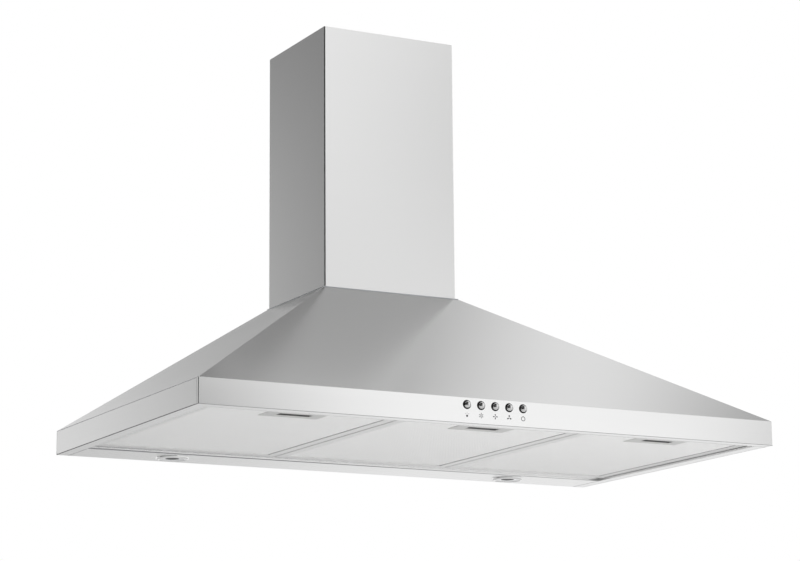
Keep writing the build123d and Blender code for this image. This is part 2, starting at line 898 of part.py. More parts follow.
def lamp_emitter_parts():
    radius = (lamp_lens_radius - lamp_seat / 2) * 0.4
    low = reflector_height - 1.5
    return spread([rod_z(radius - 0.2, x, lamp_y, low, reflector_height) for x in lamp_xs])


# Grease filters
def filter_frame_part(index):
    x = filter_centre(index)
    half = filter_width / 2
    frame = block(x - half, x + half, filter_front, filter_back, filter_lift, filter_top)
    frame -= block(
        x - half + frame_side_border,
        x + half - frame_side_border,
        window_front,
        window_back,
        filter_lift - 1,
        filter_top + 1,
    )
    frame -= block(
        x - half + frame_wall,
        x + half - frame_wall,
        filter_front + frame_wall,
        filter_back - frame_wall,
        pocket_low,
        pocket_high,
    )
    tongue_half = tongue_width / 2 + run_gap
    frame -= block(
        x - tongue_half,
        x + tongue_half,
        filter_front - 1,
        filter_front + frame_wall + 1,
        pocket_low,
        pocket_low + tongue_height + 2 * run_gap,
    )
    for hook_x in hook_centres(index):
        frame += block(
            hook_x - hook_width / 2,
            hook_x + hook_width / 2,
            filter_back - frame_wall / 2,
            hook_y,
            hook_low,
            hook_low + hook_thickness,
        )
    return frame


latch_back = window_front + latch_depth
latch_half = latch_width / 2


def filter_mesh_parts(index):
    x = filter_centre(index)
    half = filter_width / 2 - frame_wall - mesh_edge_gap
    front = filter_front + frame_wall + mesh_edge_gap
    back = filter_back - frame_wall - mesh_edge_gap
    step = (pocket_high - pocket_low - mesh_layer) / (mesh_layers - 1)
    cut = block(
        x - latch_half - run_gap, x + latch_half + run_gap, front - 1, latch_back + run_gap, 0, filter_top + 1
    )
    pieces = []
    for layer in range(mesh_layers):
        low = pocket_low + step * layer
        pieces.append(block(x - half, x + half, front, back, low, low + mesh_layer) - cut)
    return spread(pieces)


cavity_low = filter_lift + frame_flange
cavity_high = pocket_high - latch_wall
slot_front = window_front + latch_slot_front


def latch_plate_part(index):
    x = filter_centre(index)
    housing = block(x - latch_half, x + latch_half, window_front, latch_back, filter_lift, pocket_high)
    housing -= block(
        x - latch_half + latch_wall,
        x + latch_half - latch_wall,
        window_front - 1,
        latch_back - latch_wall,
        cavity_low,
        cavity_high,
    )
    slot_half = latch_slot_width / 2
    slot_back = slot_front + latch_slot_depth
    housing -= block(x - slot_half, x + slot_half, slot_front, slot_back, filter_lift - 1, cavity_low + 1)
    return housing


slider_low = cavity_low + run_gap
slider_high = cavity_high - run_gap
slider_y = window_front + slider_front
slider_back = slider_y + slider_depth


def latch_slider_part(index):
    x = filter_centre(index)
    half = slider_width / 2
    bolt = block(x - half, x + half, slider_y, slider_back, slider_low, slider_high)
    window_half = slider_window_width / 2
    start = slider_y + slider_window_front
    bolt -= block(
        x - window_half, x + window_half, start, start + slider_window_depth, slider_low - 1, slider_high + 1
    )
    tip = rim_inner_y + tongue_tip_gap
    bolt += block(
        x - tongue_width / 2, x + tongue_width / 2, tip, slider_y + 1, slider_low, slider_low + tongue_height
    )
    return bolt


def latch_spring_part(index):
    """Bow spring between the back of the bolt and the back wall of its housing."""
    x = filter_centre(index)
    half = latch_spring_width / 2
    wall_y = latch_back - latch_wall
    crown = slider_back
    leaf = latch_spring_leaf
    edges = [
        ThreePointArc((x - half, wall_y), (x, crown), (x + half, wall_y)),
        Line((x + half, wall_y), (x + half - 3 * leaf, wall_y)),
        ThreePointArc((x + half - 3 * leaf, wall_y), (x, crown + leaf), (x - half + 3 * leaf, wall_y)),
        Line((x - half + 3 * leaf, wall_y), (x - half, wall_y)),
    ]
    strip = extrude(make_face(Curve() + edges), amount=slider_high - slider_low, dir=(0, 0, 1))
    return Pos(0, 0, slider_low) * strip


nodes = {
    "canopy_front": canopy_front_sheet(),
    "canopy_left": canopy_side_sheet(-1),
    "canopy_right": canopy_side_sheet(1),
    "front_fascia": front_fascia_part(),
    "side_band_left": side_band_part(-1),
    "side_band_right": side_band_part(1),
    "rim_rails": rim_rail_parts(),
    "lamp_panel": lamp_panel_part(),
    "back_plate": back_plate_part(),
    "neck_plate": neck_plate_part(),
    "chimney_lower": chimney_lower_part(),
    "chimney_upper": chimney_upper_part(),
    "chimney_bracket": chimney_bracket_part(),
    "bracket_screws": bracket_screw_parts(),
    "neck_screws": neck_screw_parts(),
    "scroll_left": scroll_part(-1),
    "scroll_right": scroll_part(1),
    "scroll_screws": scroll_screw_parts(),
    "impeller": impeller_part(),
    "motor_shaft": motor_shaft_part(),
    "impeller_nut": impeller_nut_part(),
    "motor": motor_part(),
    "motor_bearings": motor_bearing_parts(),
    "motor_bracket": motor_bracket_part(),
    "motor_bushes": motor_bush_parts(),
    "duct_collar": duct_collar_part(),
    "damper_rod": damper_rod_part(),
    "damper_flap_front": damper_flap_part(-1, front_knuckles),
    "damper_flap_rear": damper_flap_part(1, rear_knuckles),
    "outlet_screws": outlet_screw_parts(),
    "terminal_box": terminal_box_part(),
    "terminal_lid": terminal_lid_part(),
    "capacitor": capacitor_part(),
    "cable_grommet": cable_grommet_part(),
    "switch_block": switch_block_part(),
    "switch_nuts": switch_nut_parts(),
    "lamp_bezels": lamp_bezel_parts(),
    "lamp_lenses": lamp_lens_parts(),
    "lamp_bodies": lamp_body_parts(),
    "lamp_emitters": lamp_emitter_parts(),
}

for name, x in zip(("light", "high", "medium", "low", "off"), button_xs):
    nodes["button_" + name] = button_part(x)

for index, name in enumerate(("left", "centre", "right")):
    nodes["filter_frame_" + name] = filter_frame_part(index)
    nodes["filter_mesh_" + name] = filter_mesh_parts(index)
    nodes["latch_plate_" + name] = latch_plate_part(index)
    nodes["latch_slider_" + name] = latch_slider_part(index)
    nodes["latch_spring_" + name] = latch_spring_part(index)

os.makedirs("parts", exist_ok=True)
for name, shape in nodes.items():
    export_step(shape, os.path.join("parts", name + ".step"))
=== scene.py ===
"""Looks of a wall-hung chimney range hood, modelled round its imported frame.

Every length is in metres, in the frame of the hood: +X to the right, +Y back to the wall, +Z up.
"""

import json
from math import acos, cos, pi, radians, sin, sqrt

import bmesh
import bpy
from bpy.props import FloatProperty, FloatVectorProperty, IntProperty, PointerProperty
from mathutils import Matrix, Vector


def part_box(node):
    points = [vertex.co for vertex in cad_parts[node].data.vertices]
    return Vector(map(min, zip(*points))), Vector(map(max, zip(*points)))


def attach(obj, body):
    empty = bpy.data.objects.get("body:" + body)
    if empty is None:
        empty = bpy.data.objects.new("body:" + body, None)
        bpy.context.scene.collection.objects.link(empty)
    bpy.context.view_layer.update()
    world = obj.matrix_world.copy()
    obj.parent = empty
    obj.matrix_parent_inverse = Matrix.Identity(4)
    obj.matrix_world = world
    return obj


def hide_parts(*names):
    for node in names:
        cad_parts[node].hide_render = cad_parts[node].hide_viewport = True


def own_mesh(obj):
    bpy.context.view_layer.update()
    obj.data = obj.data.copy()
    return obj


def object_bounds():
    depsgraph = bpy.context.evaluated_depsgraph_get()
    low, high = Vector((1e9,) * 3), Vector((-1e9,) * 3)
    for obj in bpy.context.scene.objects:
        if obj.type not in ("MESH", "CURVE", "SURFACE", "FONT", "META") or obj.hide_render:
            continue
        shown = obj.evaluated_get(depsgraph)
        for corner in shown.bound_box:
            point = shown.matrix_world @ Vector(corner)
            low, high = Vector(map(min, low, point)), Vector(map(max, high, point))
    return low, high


bl_info = {
    "name": "Range hood looks",
    "version": (1, 0, 0),
    "blender": (4, 5, 0),
    "location": "3D View > Sidebar > Hood",
    "description": "Models the panels, buttons, filters and lamps of a range hood in their finish",
    "category": "Mesh",
}

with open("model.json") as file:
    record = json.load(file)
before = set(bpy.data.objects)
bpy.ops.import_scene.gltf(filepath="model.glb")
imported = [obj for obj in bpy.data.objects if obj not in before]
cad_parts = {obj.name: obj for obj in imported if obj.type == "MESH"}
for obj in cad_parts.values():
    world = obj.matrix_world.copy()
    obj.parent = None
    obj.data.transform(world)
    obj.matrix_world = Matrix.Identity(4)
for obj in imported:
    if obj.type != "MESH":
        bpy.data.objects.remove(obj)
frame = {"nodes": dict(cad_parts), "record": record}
nodes = frame["nodes"]
cad_low, cad_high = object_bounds()

BUTTONS = ("light", "high", "medium", "low", "off")
FILTERS = ("left", "centre", "right")
SIDES = ("left", "right")
FORWARD = Vector((0, -1, 0))
DOWN = Vector((0, 0, -1))
ACROSS = Vector((1, 0, 0))
TOUCH = 1e-6  # points this close are one point
NEAR = 1e-5  # points of the frame this close lie in one plane

fascia_low, fascia_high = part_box("front_fascia")
band_low, band_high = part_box("side_band_left")
bezels_low, bezels_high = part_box("lamp_bezels")
lenses_low, lenses_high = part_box("lamp_lenses")
mesh_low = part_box("filter_mesh_centre")[0]
filter_low, filter_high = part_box("filter_frame_centre")
sheet = band_high.x - band_low.x
lens_radius = (lenses_high.y - lenses_low.y) / 2
lens_centre = Vector((lenses_high.x - lens_radius, lenses_low.y + lens_radius, lenses_low.z))


def number(name, description, default, **settings):
    """Property that holds a number."""
    return FloatProperty(name=name, description=description, default=default, **settings)


def metres(name, description, default, precision=5):
    """Property that holds a length."""
    return number(name, description, default, unit="LENGTH", precision=precision)


def degrees(name, description, angle):
    """Property that holds an angle."""
    return number(name, description, radians(angle), subtype="ANGLE")


def rgb(name, description, default):
    """Property that holds a colour."""
    kind = {"size": 3, "subtype": "COLOR", "min": 0, "max": 1}
    return FloatVectorProperty(name=name, description=description, default=default, **kind)


class HoodSizes(bpy.types.PropertyGroup):
    """Sizes of the modelled pieces."""

    sheet: metres("Sheet", "Thickness of the steel sheet", sheet)
    corner_round: metres("Corner bend", "Outer radius of the front band's end bends", 0.0016)
    corner_return: metres("Corner return", "Depth of the front band's folded ends", 0.004)
    seam_gap: metres("Corner seam", "Gap between the front band's end and a side band", 0.0006)
    # Heights of the dark sealant line under the bands, which also paints the shade of the gap there
    painted_shade_seal_height: metres("Rim seal", "Height of the sealant under the side bands", 0.0009)
    front_painted_shade_seal: metres("Front seal", "Height of the sealant under the front band", 0.0004)
    # painted shade: grey strip along the top of each side band, where it meets the canopy
    band_painted_shade_seam: metres("Band seam", "Height of the seam over a side band", 0.0006)
    edge_round: metres("Edge round", "Rounding of the edges of sheets and boxes", 0.0003)
    button_gap: metres("Button gap", "Gap round each button in the front band", 0.0003)
    # the black collar of each button is painted dark reflection
    button_painted_reflection_collar: metres("Button collar", "Width of the black collar of a button", 0.0010)
    symbol_size: metres("Symbol size", "Height of the function symbols under the buttons", 0.0070)
    symbol_drop: metres("Symbol drop", "Distance from a button's centre down to its symbol", 0.0139)
    symbol_ink: metres("Symbol ink", "Thickness of the printed symbols", 0.00005, 6)
    mesh_pitch_x: metres("Mesh pitch across", "Long diagonal of a mesh diamond", 0.008)
    mesh_pitch_y: metres("Mesh pitch along", "Short diagonal of a mesh diamond", 0.0048)
    mesh_strand: metres("Mesh strand", "Width of half a strand of the filter mesh", 0.00078)
    mesh_sheet: metres("Mesh sheet", "Thickness of the expanded sheet of the filter mesh", 0.00015)
    mesh_tilt: degrees("Mesh tilt", "Tilt of the strands of the filter mesh", 3)
    leaf: metres("Spring leaf", "Thickness of the leaf springs in the latches", 0.0004)
    # painted shade: dark strip along the right edge of each filter window
    painted_shade_hem: metres("Window hem", "Width of the joint between a mesh and its frame", 0.0010)
    # painted shade: dark strip on the lamp panel's lip, tapering to the right
    painted_shade_gasket: metres("Panel gasket", "Height of the lamp panel's gasket at its left end", 0.0020)
    bead: metres("Panel bead", "Width of the sealant at each end of the lamp panel", 0.0009)
    turn_steps: IntProperty(
        name="Turning steps", description="Facets round a turned piece", default=48, min=12
    )


class HoodFinish(bpy.types.PropertyGroup):
    """Colours of the finishes."""

    steel: rgb("Stainless steel", "Colour of the brushed steel", (0.88, 0.88, 0.878))
    steel_roughness: number("Steel roughness", "Roughness of the sheets", 0.22, min=0, max=1)
    chrome: rgb("Chrome", "Colour of the polished trim", (0.88, 0.88, 0.88))
    aluminium: rgb("Aluminium", "Colour of the filter frames and mesh", (0.86, 0.86, 0.855))
    galvanised: rgb("Galvanised sheet", "Colour of the zinc coated sheets", (0.56, 0.58, 0.60))
    ink: rgb("Symbol ink", "Colour of the printed symbols", (0.02, 0.02, 0.022))
    # Dark colour of the sealant strips; most of them paint the shade in the hood's seams and gaps
    seal: rgb("Seal", "Colour of the line of sealant", (0.13, 0.13, 0.135))


class HoodStage(bpy.types.PropertyGroup):
    """Camera, light and floor."""

    camera_place: FloatVectorProperty(
        name="Camera place",
        description="Where the camera stands",
        default=(-1.72978, -3.49730, -0.52304),
        size=3,
        subtype="TRANSLATION",
        precision=5,
    )
    camera_yaw: degrees("Camera yaw", "Turn of the camera to the right", 27.860)
    camera_pitch: degrees("Camera pitch", "Tilt of the camera above the horizon", 11.920)
    camera_roll: degrees("Camera roll", "Turn of the camera about its own axis", -0.448)
    lens: number("Lens", "Focal length on a 36 mm wide sensor, in millimetres", 114.794, min=0)
    floor_drop: metres("Floor drop", "Height of the rim above the floor", 1.55)
    floor_colour: rgb("Floor colour", "Colour of the plain floor", (0.80, 0.80, 0.80))
    sky_level: number("Sky level", "Strength of the soft light from all round", 0.65, min=0)
    key_power: number("Key lamp", "Power of the large lamp at the front right, in watts", 40, min=0)
    fill_power: number("Fill lamp", "Power of the lamp under the hood, in watts", 22, min=0)


# Modelling tools


def clear_selection():
    """Back to object mode with nothing selected."""
    if bpy.context.mode != "OBJECT":
        bpy.ops.object.mode_set(mode="OBJECT")
    bpy.ops.object.select_all(action="DESELECT")


def take(piece):
    """Selects one piece alone and makes it the active one."""
    clear_selection()
    piece.select_set(True)
    bpy.context.view_layer.objects.active = piece


def start(add, name, **settings):
    """New piece from one primitive, with its place moved into its mesh."""
    clear_selection()
    add(**settings)
    piece = bpy.context.active_object
    piece.name = name
    piece.data.name = name
    bpy.ops.object.transform_apply()
    return piece


def start_block(name, low, high):
    """New piece that starts as a block between two corners."""
    low = Vector(low)
    high = Vector(high)
    middle = (low + high) / 2
    return start(bpy.ops.mesh.primitive_cube_add, name, size=1, location=middle, scale=high - low)


def start_rod(name, radius, length, centre):
    """New piece that starts as a round rod along Y."""
    add = bpy.ops.mesh.primitive_cylinder_add
    shape = {"vertices": bpy.context.scene.hood_sizes.turn_steps, "radius": radius}
    return start(add, name, depth=length, location=centre, rotation=(pi / 2, 0, 0), **shape)


def start_disc(name, corners, radius, centre):
    """New piece that starts as a flat disc."""
    add = bpy.ops.mesh.primitive_circle_add
    return start(add, name, vertices=corners, radius=radius, fill_type="NGON", location=centre)


def edit(piece):
    """Opens a piece in edit mode."""
    take(piece)
    bpy.ops.object.mode_set(mode="EDIT")


def pick_all():
    """Selects all of the open mesh."""
    bpy.ops.mesh.select_all(action="SELECT")


def close(clean=True):
    """Leaves edit mode, with doubles merged and faces pointing outwards if asked."""
    if clean:
        pick_all()
        bpy.ops.mesh.remove_doubles(threshold=TOUCH)
        bpy.ops.mesh.normals_make_consistent(inside=False)
    bpy.ops.object.mode_set(mode="OBJECT")


def pick_faces(piece, test):
    """Selects, in edit mode, the faces whose middle and normal pass a test."""
    bpy.ops.mesh.select_mode(type="FACE")
    bpy.ops.mesh.select_all(action="DESELECT")
    shape = bmesh.from_edit_mesh(piece.data)
    for face in shape.faces:
        face.select_set(test(face.calc_center_median(), face.normal))
    bmesh.update_edit_mesh(piece.data)


def pick_edges(piece, test):
    """Selects, in edit mode, the edges whose two ends pass a test."""
    bpy.ops.mesh.select_mode(type="EDGE")
    bpy.ops.mesh.select_all(action="DESELECT")
    shape = bmesh.from_edit_mesh(piece.data)
    for edge in shape.edges:
        if test(edge.verts[0].co) and test(edge.verts[1].co):
            edge.select_set(True)
    bmesh.update_edit_mesh(piece.data)


def cut(place, normal, keep_behind=False):
    """Cuts the open mesh by a plane, and takes away what lies in front of it if asked."""
    pick_all()
    bpy.ops.mesh.bisect(plane_co=place, plane_no=normal, clear_outer=keep_behind)


def push(offset):
    """Extrudes the picked faces by an offset."""
    bpy.ops.mesh.extrude_region_move(TRANSFORM_OT_translate={"value": offset})


def bevel(offset, segments):
    """Bevels the picked edges."""
    bpy.ops.mesh.bevel(offset=offset, segments=segments, affect="EDGES")


def add_block(centre, spans):
    """Adds a block to the open mesh and leaves it alone selected."""
    bpy.ops.mesh.select_all(action="DESELECT")
    bpy.ops.mesh.primitive_cube_add(size=1, location=centre, scale=spans)


def add_modifier(piece, kind, **settings):
    """Adds one modifier to a piece."""
    modifier = piece.modifiers.new(kind, kind)
    for name, value in settings.items():
        setattr(modifier, name, value)
    return modifier


def apply_modifier(piece, kind, **settings):
    """Adds one modifier to a piece and applies it."""
    take(piece)
    modifier = add_modifier(piece, kind, **settings)
    bpy.ops.object.modifier_apply(modifier=modifier.name)


def copy_piece(piece, name, across):
    """Copy of a piece with a mesh of its own, moved along X."""
    take(piece)
    bpy.ops.object.duplicate()
    twin = bpy.context.active_object
    twin.name = name
    twin.data.name = name
    bpy.ops.transform.translate(value=(across, 0, 0))
    bpy.ops.object.transform_apply()
    return twin


def middle_of(node):
    """Middle of the box of a node of the frame."""
    low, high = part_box(node)
    return (low + high) / 2


def spread(piece, kind, home, keys):
    """Copies of a piece that was made at one node, at every node of its kind in its stead."""
    home_x = middle_of(kind + home).x
    copies = {}
    for key in keys:
        across = middle_of(kind + key).x - home_x
        copies[key] = copy_piece(piece, piece.name + "_" + key, across)
    bpy.data.objects.remove(piece)
    return copies.items()


def turn(name, profile, centre, axis):
    """Turned piece: a chain of (radius, height) points, spun about an axis square to X."""
    centre = Vector(centre)
    points = [centre + ACROSS * radius + axis * height for radius, height in profile]
    piece = start(bpy.ops.mesh.primitive_plane_add, name, size=0.001, location=points[0])
    edit(piece)
    bpy.ops.mesh.select_mode(type="VERT")
    pick_all()
    bpy.ops.mesh.merge(type="CENTER")
    for before, after in zip(points, points[1:]):
        bpy.ops.mesh.extrude_vertices_move(TRANSFORM_OT_translate={"value": after - before})
    pick_all()
    steps = bpy.context.scene.hood_sizes.turn_steps
    bpy.ops.mesh.spin(steps=steps, angle=2 * pi, center=centre, axis=axis)
    close()
    return piece


def arc(radius_0, height_0, radius_1, height_1, count):
    """Quarter of an ellipse of (radius, height) points, level at its first end."""
    points = []
    for step in range(count + 1):
        angle = pi / 2 * step / count
        radius = radius_0 + (radius_1 - radius_0) * sin(angle)
        height = height_1 + (height_0 - height_1) * cos(angle)
        points.append((radius, height))
    return points


def cap(radius, base, tip, count):
    """Shallow dome of (radius, height) points, part of a circle, from its tip down to its edge."""
    rise = tip - base
    bend = (radius * radius + rise * rise) / (2 * rise)
    points = []
    for step in range(count + 1):
        out = radius * step / count
        points.append((out, tip - bend + sqrt(bend * bend - out * out)))
    return points


def fit(piece, body, slot, material, *replaced, angle=35):
    """Gives a finished piece its shading, finish and body, and hides the nodes it stands for."""
    take(piece)
    bpy.ops.object.shade_smooth_by_angle(angle=radians(angle))
    apply_modifier(piece, "WEIGHTED_NORMAL", keep_sharp=True)
    piece.data.materials.clear()
    piece.data.materials.append(material)
    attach(piece, body)
    if replaced:
        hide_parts(*replaced)


# Shader tools


class Value:
    """One output socket of a node; arithmetic on it adds Math nodes."""

    def __init__(self, tree, socket):
        self.tree = tree
        self.socket = socket

    def __add__(self, other):
        return self.tree.math("ADD", self, other)

    def __sub__(self, other):
        return self.tree.math("SUBTRACT", self, other)

    def __rsub__(self, other):
        return self.tree.math("SUBTRACT", other, self)

    def __mul__(self, other):
        return self.tree.math("MULTIPLY", self, other)

    __radd__ = __add__
    __rmul__ = __mul__


class Tree:
    """The emptied node tree of a material or world, that nodes are added to."""

    def __init__(self, owner):
        self.owner = owner
        owner.use_nodes = True
        self.tree = owner.node_tree
        self.tree.nodes.clear()

    def node(self, kind, output, sockets, **settings):
        """Adds a node with its settings and the values or links of its sockets, for one output."""
        node = self.tree.nodes.new(kind)
        for name, value in settings.items():
            setattr(node, name, value)
        for name, value in sockets.items():
            if isinstance(value, Value):
                self.tree.links.new(value.socket, node.inputs[name])
            else:
                node.inputs[name].default_value = value
        if output is not None:
            return Value(self, node.outputs[output])

    def source(self, kind, output):
        """Output of a node that takes nothing in."""
        return self.node(kind, output, {})

    def place(self):
        """Object coordinates."""
        return self.source("ShaderNodeTexCoord", "Object")

    def math(self, operation, first, second=0):
        """Sum, product or function of numbers."""
        return self.node("ShaderNodeMath", "Value", {0: first, 1: second}, operation=operation)

    def vector_math(self, operation, output, first, second=(0, 0, 0)):
        """Sum, product or function of vectors."""
        sockets = {0: first, 1: second}
        return self.node("ShaderNodeVectorMath", output, sockets, operation=operation)

    def smooth_step(self, value, low, high):
        """Soft step from 0 at a low value to 1 at a high one."""
        sockets = {"Value": value, "From Min": low, "From Max": high}
        return self.node(
            "ShaderNodeMapRange", "Result", sockets, interpolation_type="SMOOTHSTEP"
        )

    def stretch(self, vector, scale):
        """Vector stretched along the axes."""
        return self.node("ShaderNodeMapping", "Vector", {"Vector": vector, "Scale": scale})

    def noise(self, scale, detail=3.0, roughness=0.55, stretch=(1, 1, 1)):
        """Noise on stretched Object coordinates."""
        mapped = self.stretch(self.place(), stretch)
        sockets = {"Vector": mapped, "Scale": scale, "Detail": detail, "Roughness": roughness}
        return self.node("ShaderNodeTexNoise", 0, sockets)

    def cells(self, output, scale):
        """Voronoi cells on Object coordinates."""
        sockets = {"Vector": self.place(), "Scale": scale}
        return self.node("ShaderNodeTexVoronoi", output, sockets, feature="F1")

    def blend(self, factor, first, second):
        """Mix of two colours."""
        sockets = {"Factor": factor, 6: first, 7: second}
        return self.node("ShaderNodeMix", 2, sockets, data_type="RGBA")

    def tones(self, factor, colour, first, second):
        """Mix of two levels of a colour."""
        return self.blend(factor, tint(colour, first), tint(colour, second))

    def bump(self, height, strength, depth=0.0001):
        """Normal of a surface roughened by a height."""
        sockets = {"Height": height, "Strength": strength, "Distance": depth}
        return self.node("ShaderNodeBump", "Normal", sockets)

    def mix_shaders(self, factor, first, second):
        """Mix of two shaders."""
        return self.node("ShaderNodeMixShader", "Shader", {0: factor, 1: first, 2: second})

    def surface(self, colour, roughness, metallic=0.0, normal=None, **others):
        """Material with a Principled surface."""
        sockets = {"Base Color": colour, "Roughness": roughness, "Metallic": metallic, **others}
        if normal:
            sockets["Normal"] = normal
        shader = self.node("ShaderNodeBsdfPrincipled", "BSDF", sockets)
        self.node("ShaderNodeOutputMaterial", None, {"Surface": shader})
        return self.owner


def new_tree(name):
    """Empty node tree of a new material."""
    return Tree(bpy.data.materials.new(name))


def tint(colour, level):
    """Opaque colour, lighter or darker by a level."""
    return (colour[0] * level, colour[1] * level, colour[2] * level, 1)


# Finishes

GRAIN = {"x": (6, 1400, 1400), "y": (1400, 6, 1400), "round": (6, 6, 1400)}


def brushed_steel(name, colour, roughness, grain):
    """Stainless sheet with brush lines and wide streaks along one axis, and clouds of polish."""
    tree = new_tree(name)
    lines = tree.noise(1.0, 4.0, 0.6, GRAIN[grain])
    scratches = tree.noise(0.35, 2.0, 0.5, GRAIN[grain])
    streaks = tree.noise(0.16, 3.0, 0.6, GRAIN[grain])
    clouds = tree.noise(3.0, 2.0, 0.5)
    level = 0.3 * lines + 0.2 * scratches + 0.35 * streaks + 0.15 * clouds
    return tree.surface(
        tree.tones(level, colour, 0.95, 1.05),
        roughness - 0.04 + 0.05 * lines + 0.03 * clouds,
        metallic=1.0,
        normal=tree.bump(lines + 0.6 * scratches, 0.03, 0.00005),
    )


def mottled(name, colour, grain, tones, roughness, metallic=0.0, relief=0.0):
    """Finish whose tone, roughness and relief all follow one fine mottle."""
    tree = new_tree(name)
    mottle = tree.noise(*grain)
    return tree.surface(
        tree.tones(mottle, colour, *tones),
        roughness[0] + roughness[1] * mottle,
        metallic,
        tree.bump(mottle, relief) if relief else None,
    )


def polished_chrome(name, colour):
    """Chrome plating with faint wipe marks."""
    return mottled(name, colour, (90.0, 3.0, 0.6), (0.94, 1.04), (0.05, 0.06), 1.0)


def turned_metal(name, colour, roughness, scale):
    """Plated or cast small metal with a fine mottle."""
    grain = (scale, 4.0, 0.6)
    return mottled(name, colour, grain, (0.8, 1.15), (roughness - 0.06, 0.14), 1.0, 0.1)


def sealant(name, colour):
    """Satin line of sealant with small ripples along it."""
    grain = (120.0, 2.0, 0.5)
    return mottled(name, colour, grain, (0.8, 1.25), (0.55, 0.15), relief=0.2)


def printed_ink(name, colour):
    """Screen-printed ink with a slightly uneven edge of pigment."""
    return mottled(name, colour, (1500.0, 2.0, 0.5), (0.8, 1.3), (0.5, 0.2))


def rolled_aluminium(name, colour, roughness):
    """Soft aluminium with roll lines and a light satin."""
    tree = new_tree(name)
    roll = tree.noise(1.0, 3.0, 0.6, (700, 40, 700))
    clouds = tree.noise(18.0, 3.0, 0.5)
    return tree.surface(
        tree.tones(0.5 * roll + 0.5 * clouds, colour, 0.9, 1.06),
        roughness - 0.05 + 0.1 * roll,
        metallic=1.0,
        normal=tree.bump(roll, 0.12),
    )


def mesh_layers(name, colour, pitch_x, pitch_y):
    """Deeper layers of expanded sheet: a lattice of pale strands over gaps painted grey, the
    painted shade seen through the holes.
    """
    tree = new_tree(name)
    turns = {"Vector": tree.stretch(tree.place(), (2 * pi / pitch_x, 2 * pi / pitch_y, 1))}
    wave_x = tree.math("COSINE", tree.node("ShaderNodeSeparateXYZ", "X", turns))
    wave_y = tree.math("COSINE", tree.node("ShaderNodeSeparateXYZ", "Y", turns))
    gap = tree.smooth_step(0.5 + 0.25 * (wave_x + wave_y), 0.55, 0.85)
    strands = tree.tones(tree.noise(25.0, 3.0, 0.6), colour, 0.72, 0.88)
    return tree.surface(
        # grey gaps: painted shade of the depth under the strands
        tree.blend(gap, strands, tint(colour, 0.5)),
        0.42 + 0.15 * gap,
        metallic=0.30 - 0.10 * gap,
        normal=tree.bump(1 - gap, 0.3, 0.0003),
    )


def expanded_sheet(name, colour):
    """Strands of the expanded sheet: aluminium painted lighter than the frames against the
    lattice's own shade, dulled by its cut edges.
    """
    tree = new_tree(name)
    dull = tree.noise(140.0, 3.0, 0.6)
    # tinted above the aluminium: painted light that offsets the lattice's shade
    tone = tree.tones(dull, colour, 1.08, 1.15)
    return tree.surface(tone, 0.3 + 0.1 * dull, metallic=0.1 + 0.1 * dull)


def galvanised_sheet(name, colour):
    """Zinc coat with its spangle of crystals."""
    tree = new_tree(name)
    spangle = {"Color": tree.cells("Color", 110.0)}
    crystal = tree.node("ShaderNodeSeparateColor", "Red", spangle)
    clouds = tree.noise(14.0)
    return tree.surface(
        tree.tones(0.6 * crystal + 0.4 * clouds, colour, 0.82, 1.16),
        0.38 + 0.16 * crystal,
        metallic=0.9,
        normal=tree.bump(crystal, 0.08),
    )


def moulded_plastic(name, colour, roughness, grain):
    """Moulded plastic with a fine spark-eroded grain and slow shade changes."""
    tree = new_tree(name)
    fine = tree.noise(grain, 2.0, 0.5)
    slow = tree.noise(20.0, 2.0, 0.5)
    return tree.surface(
        tree.tones(0.4 * fine + 0.6 * slow, colour, 0.88, 1.12),
        roughness - 0.06 + 0.12 * fine,
        normal=tree.bump(fine, 0.15),
    )


def lamp_glass(name, centre, radius):
    """Glass over a reflector lamp: bright facets round a middle painted dark, a painted dark
    reflection.
    """
    tree = new_tree(name)
    mirrored = tree.vector_math("ABSOLUTE", "Vector", tree.place())
    middle = (abs(centre.x), abs(centre.y), 0)
    offset = tree.vector_math("SUBTRACT", "Vector", mirrored, middle)
    level = tree.vector_math("MULTIPLY", "Vector", offset, (1, 1, 0))
    away = tree.vector_math("LENGTH", "Value", level)
    rim = tree.smooth_step(away, radius * 0.5, radius * 0.6)
    facets = tree.cells("Distance", 420.0)
    bright = tree.blend(facets, (0.96, 0.96, 0.97, 1), (0.72, 0.73, 0.75, 1))
    return tree.surface(
        # near-black middle: painted dark reflection in the lens
        tree.blend(rim, (0.03, 0.03, 0.033, 1), bright),
        0.4 - 0.25 * rim,
        metallic=0.85 * rim,
        normal=tree.bump(facets, 0.25, 0.0004),
        **{"Coat Weight": 0.5 * rim, "Specular IOR Level": 0.1},
    )


# Colour, roughness and scale of the mottle or grain of the small pieces' finishes
METALS = {
    "motor_can": ((0.34, 0.35, 0.36), 0.42, 60.0),
    "bearing_bronze": ((0.50, 0.32, 0.15), 0.36, 220.0),
    "latch_steel": ((0.66, 0.66, 0.65), 0.32, 200.0),
    "spring_steel": ((0.40, 0.40, 0.41), 0.3, 300.0),
}
PLASTICS = {
    "blower_plastic": ((0.045, 0.046, 0.05), 0.48, 900.0),
    "black_rubber": ((0.022, 0.022, 0.023), 0.72, 1200.0),
    "outlet_plastic": ((0.06, 0.062, 0.066), 0.5, 800.0),
    "switch_plastic": ((0.035, 0.035, 0.037), 0.45, 900.0),
    "capacitor_plastic": ((0.60, 0.60, 0.57), 0.42, 700.0),
    "lamp_plastic": ((0.70, 0.70, 0.69), 0.4, 800.0),
    "lamp_source": ((0.80, 0.74, 0.46), 0.35, 1500.0),
    "latch_plastic": ((0.09, 0.09, 0.092), 0.46, 900.0),
}
finishes = {}


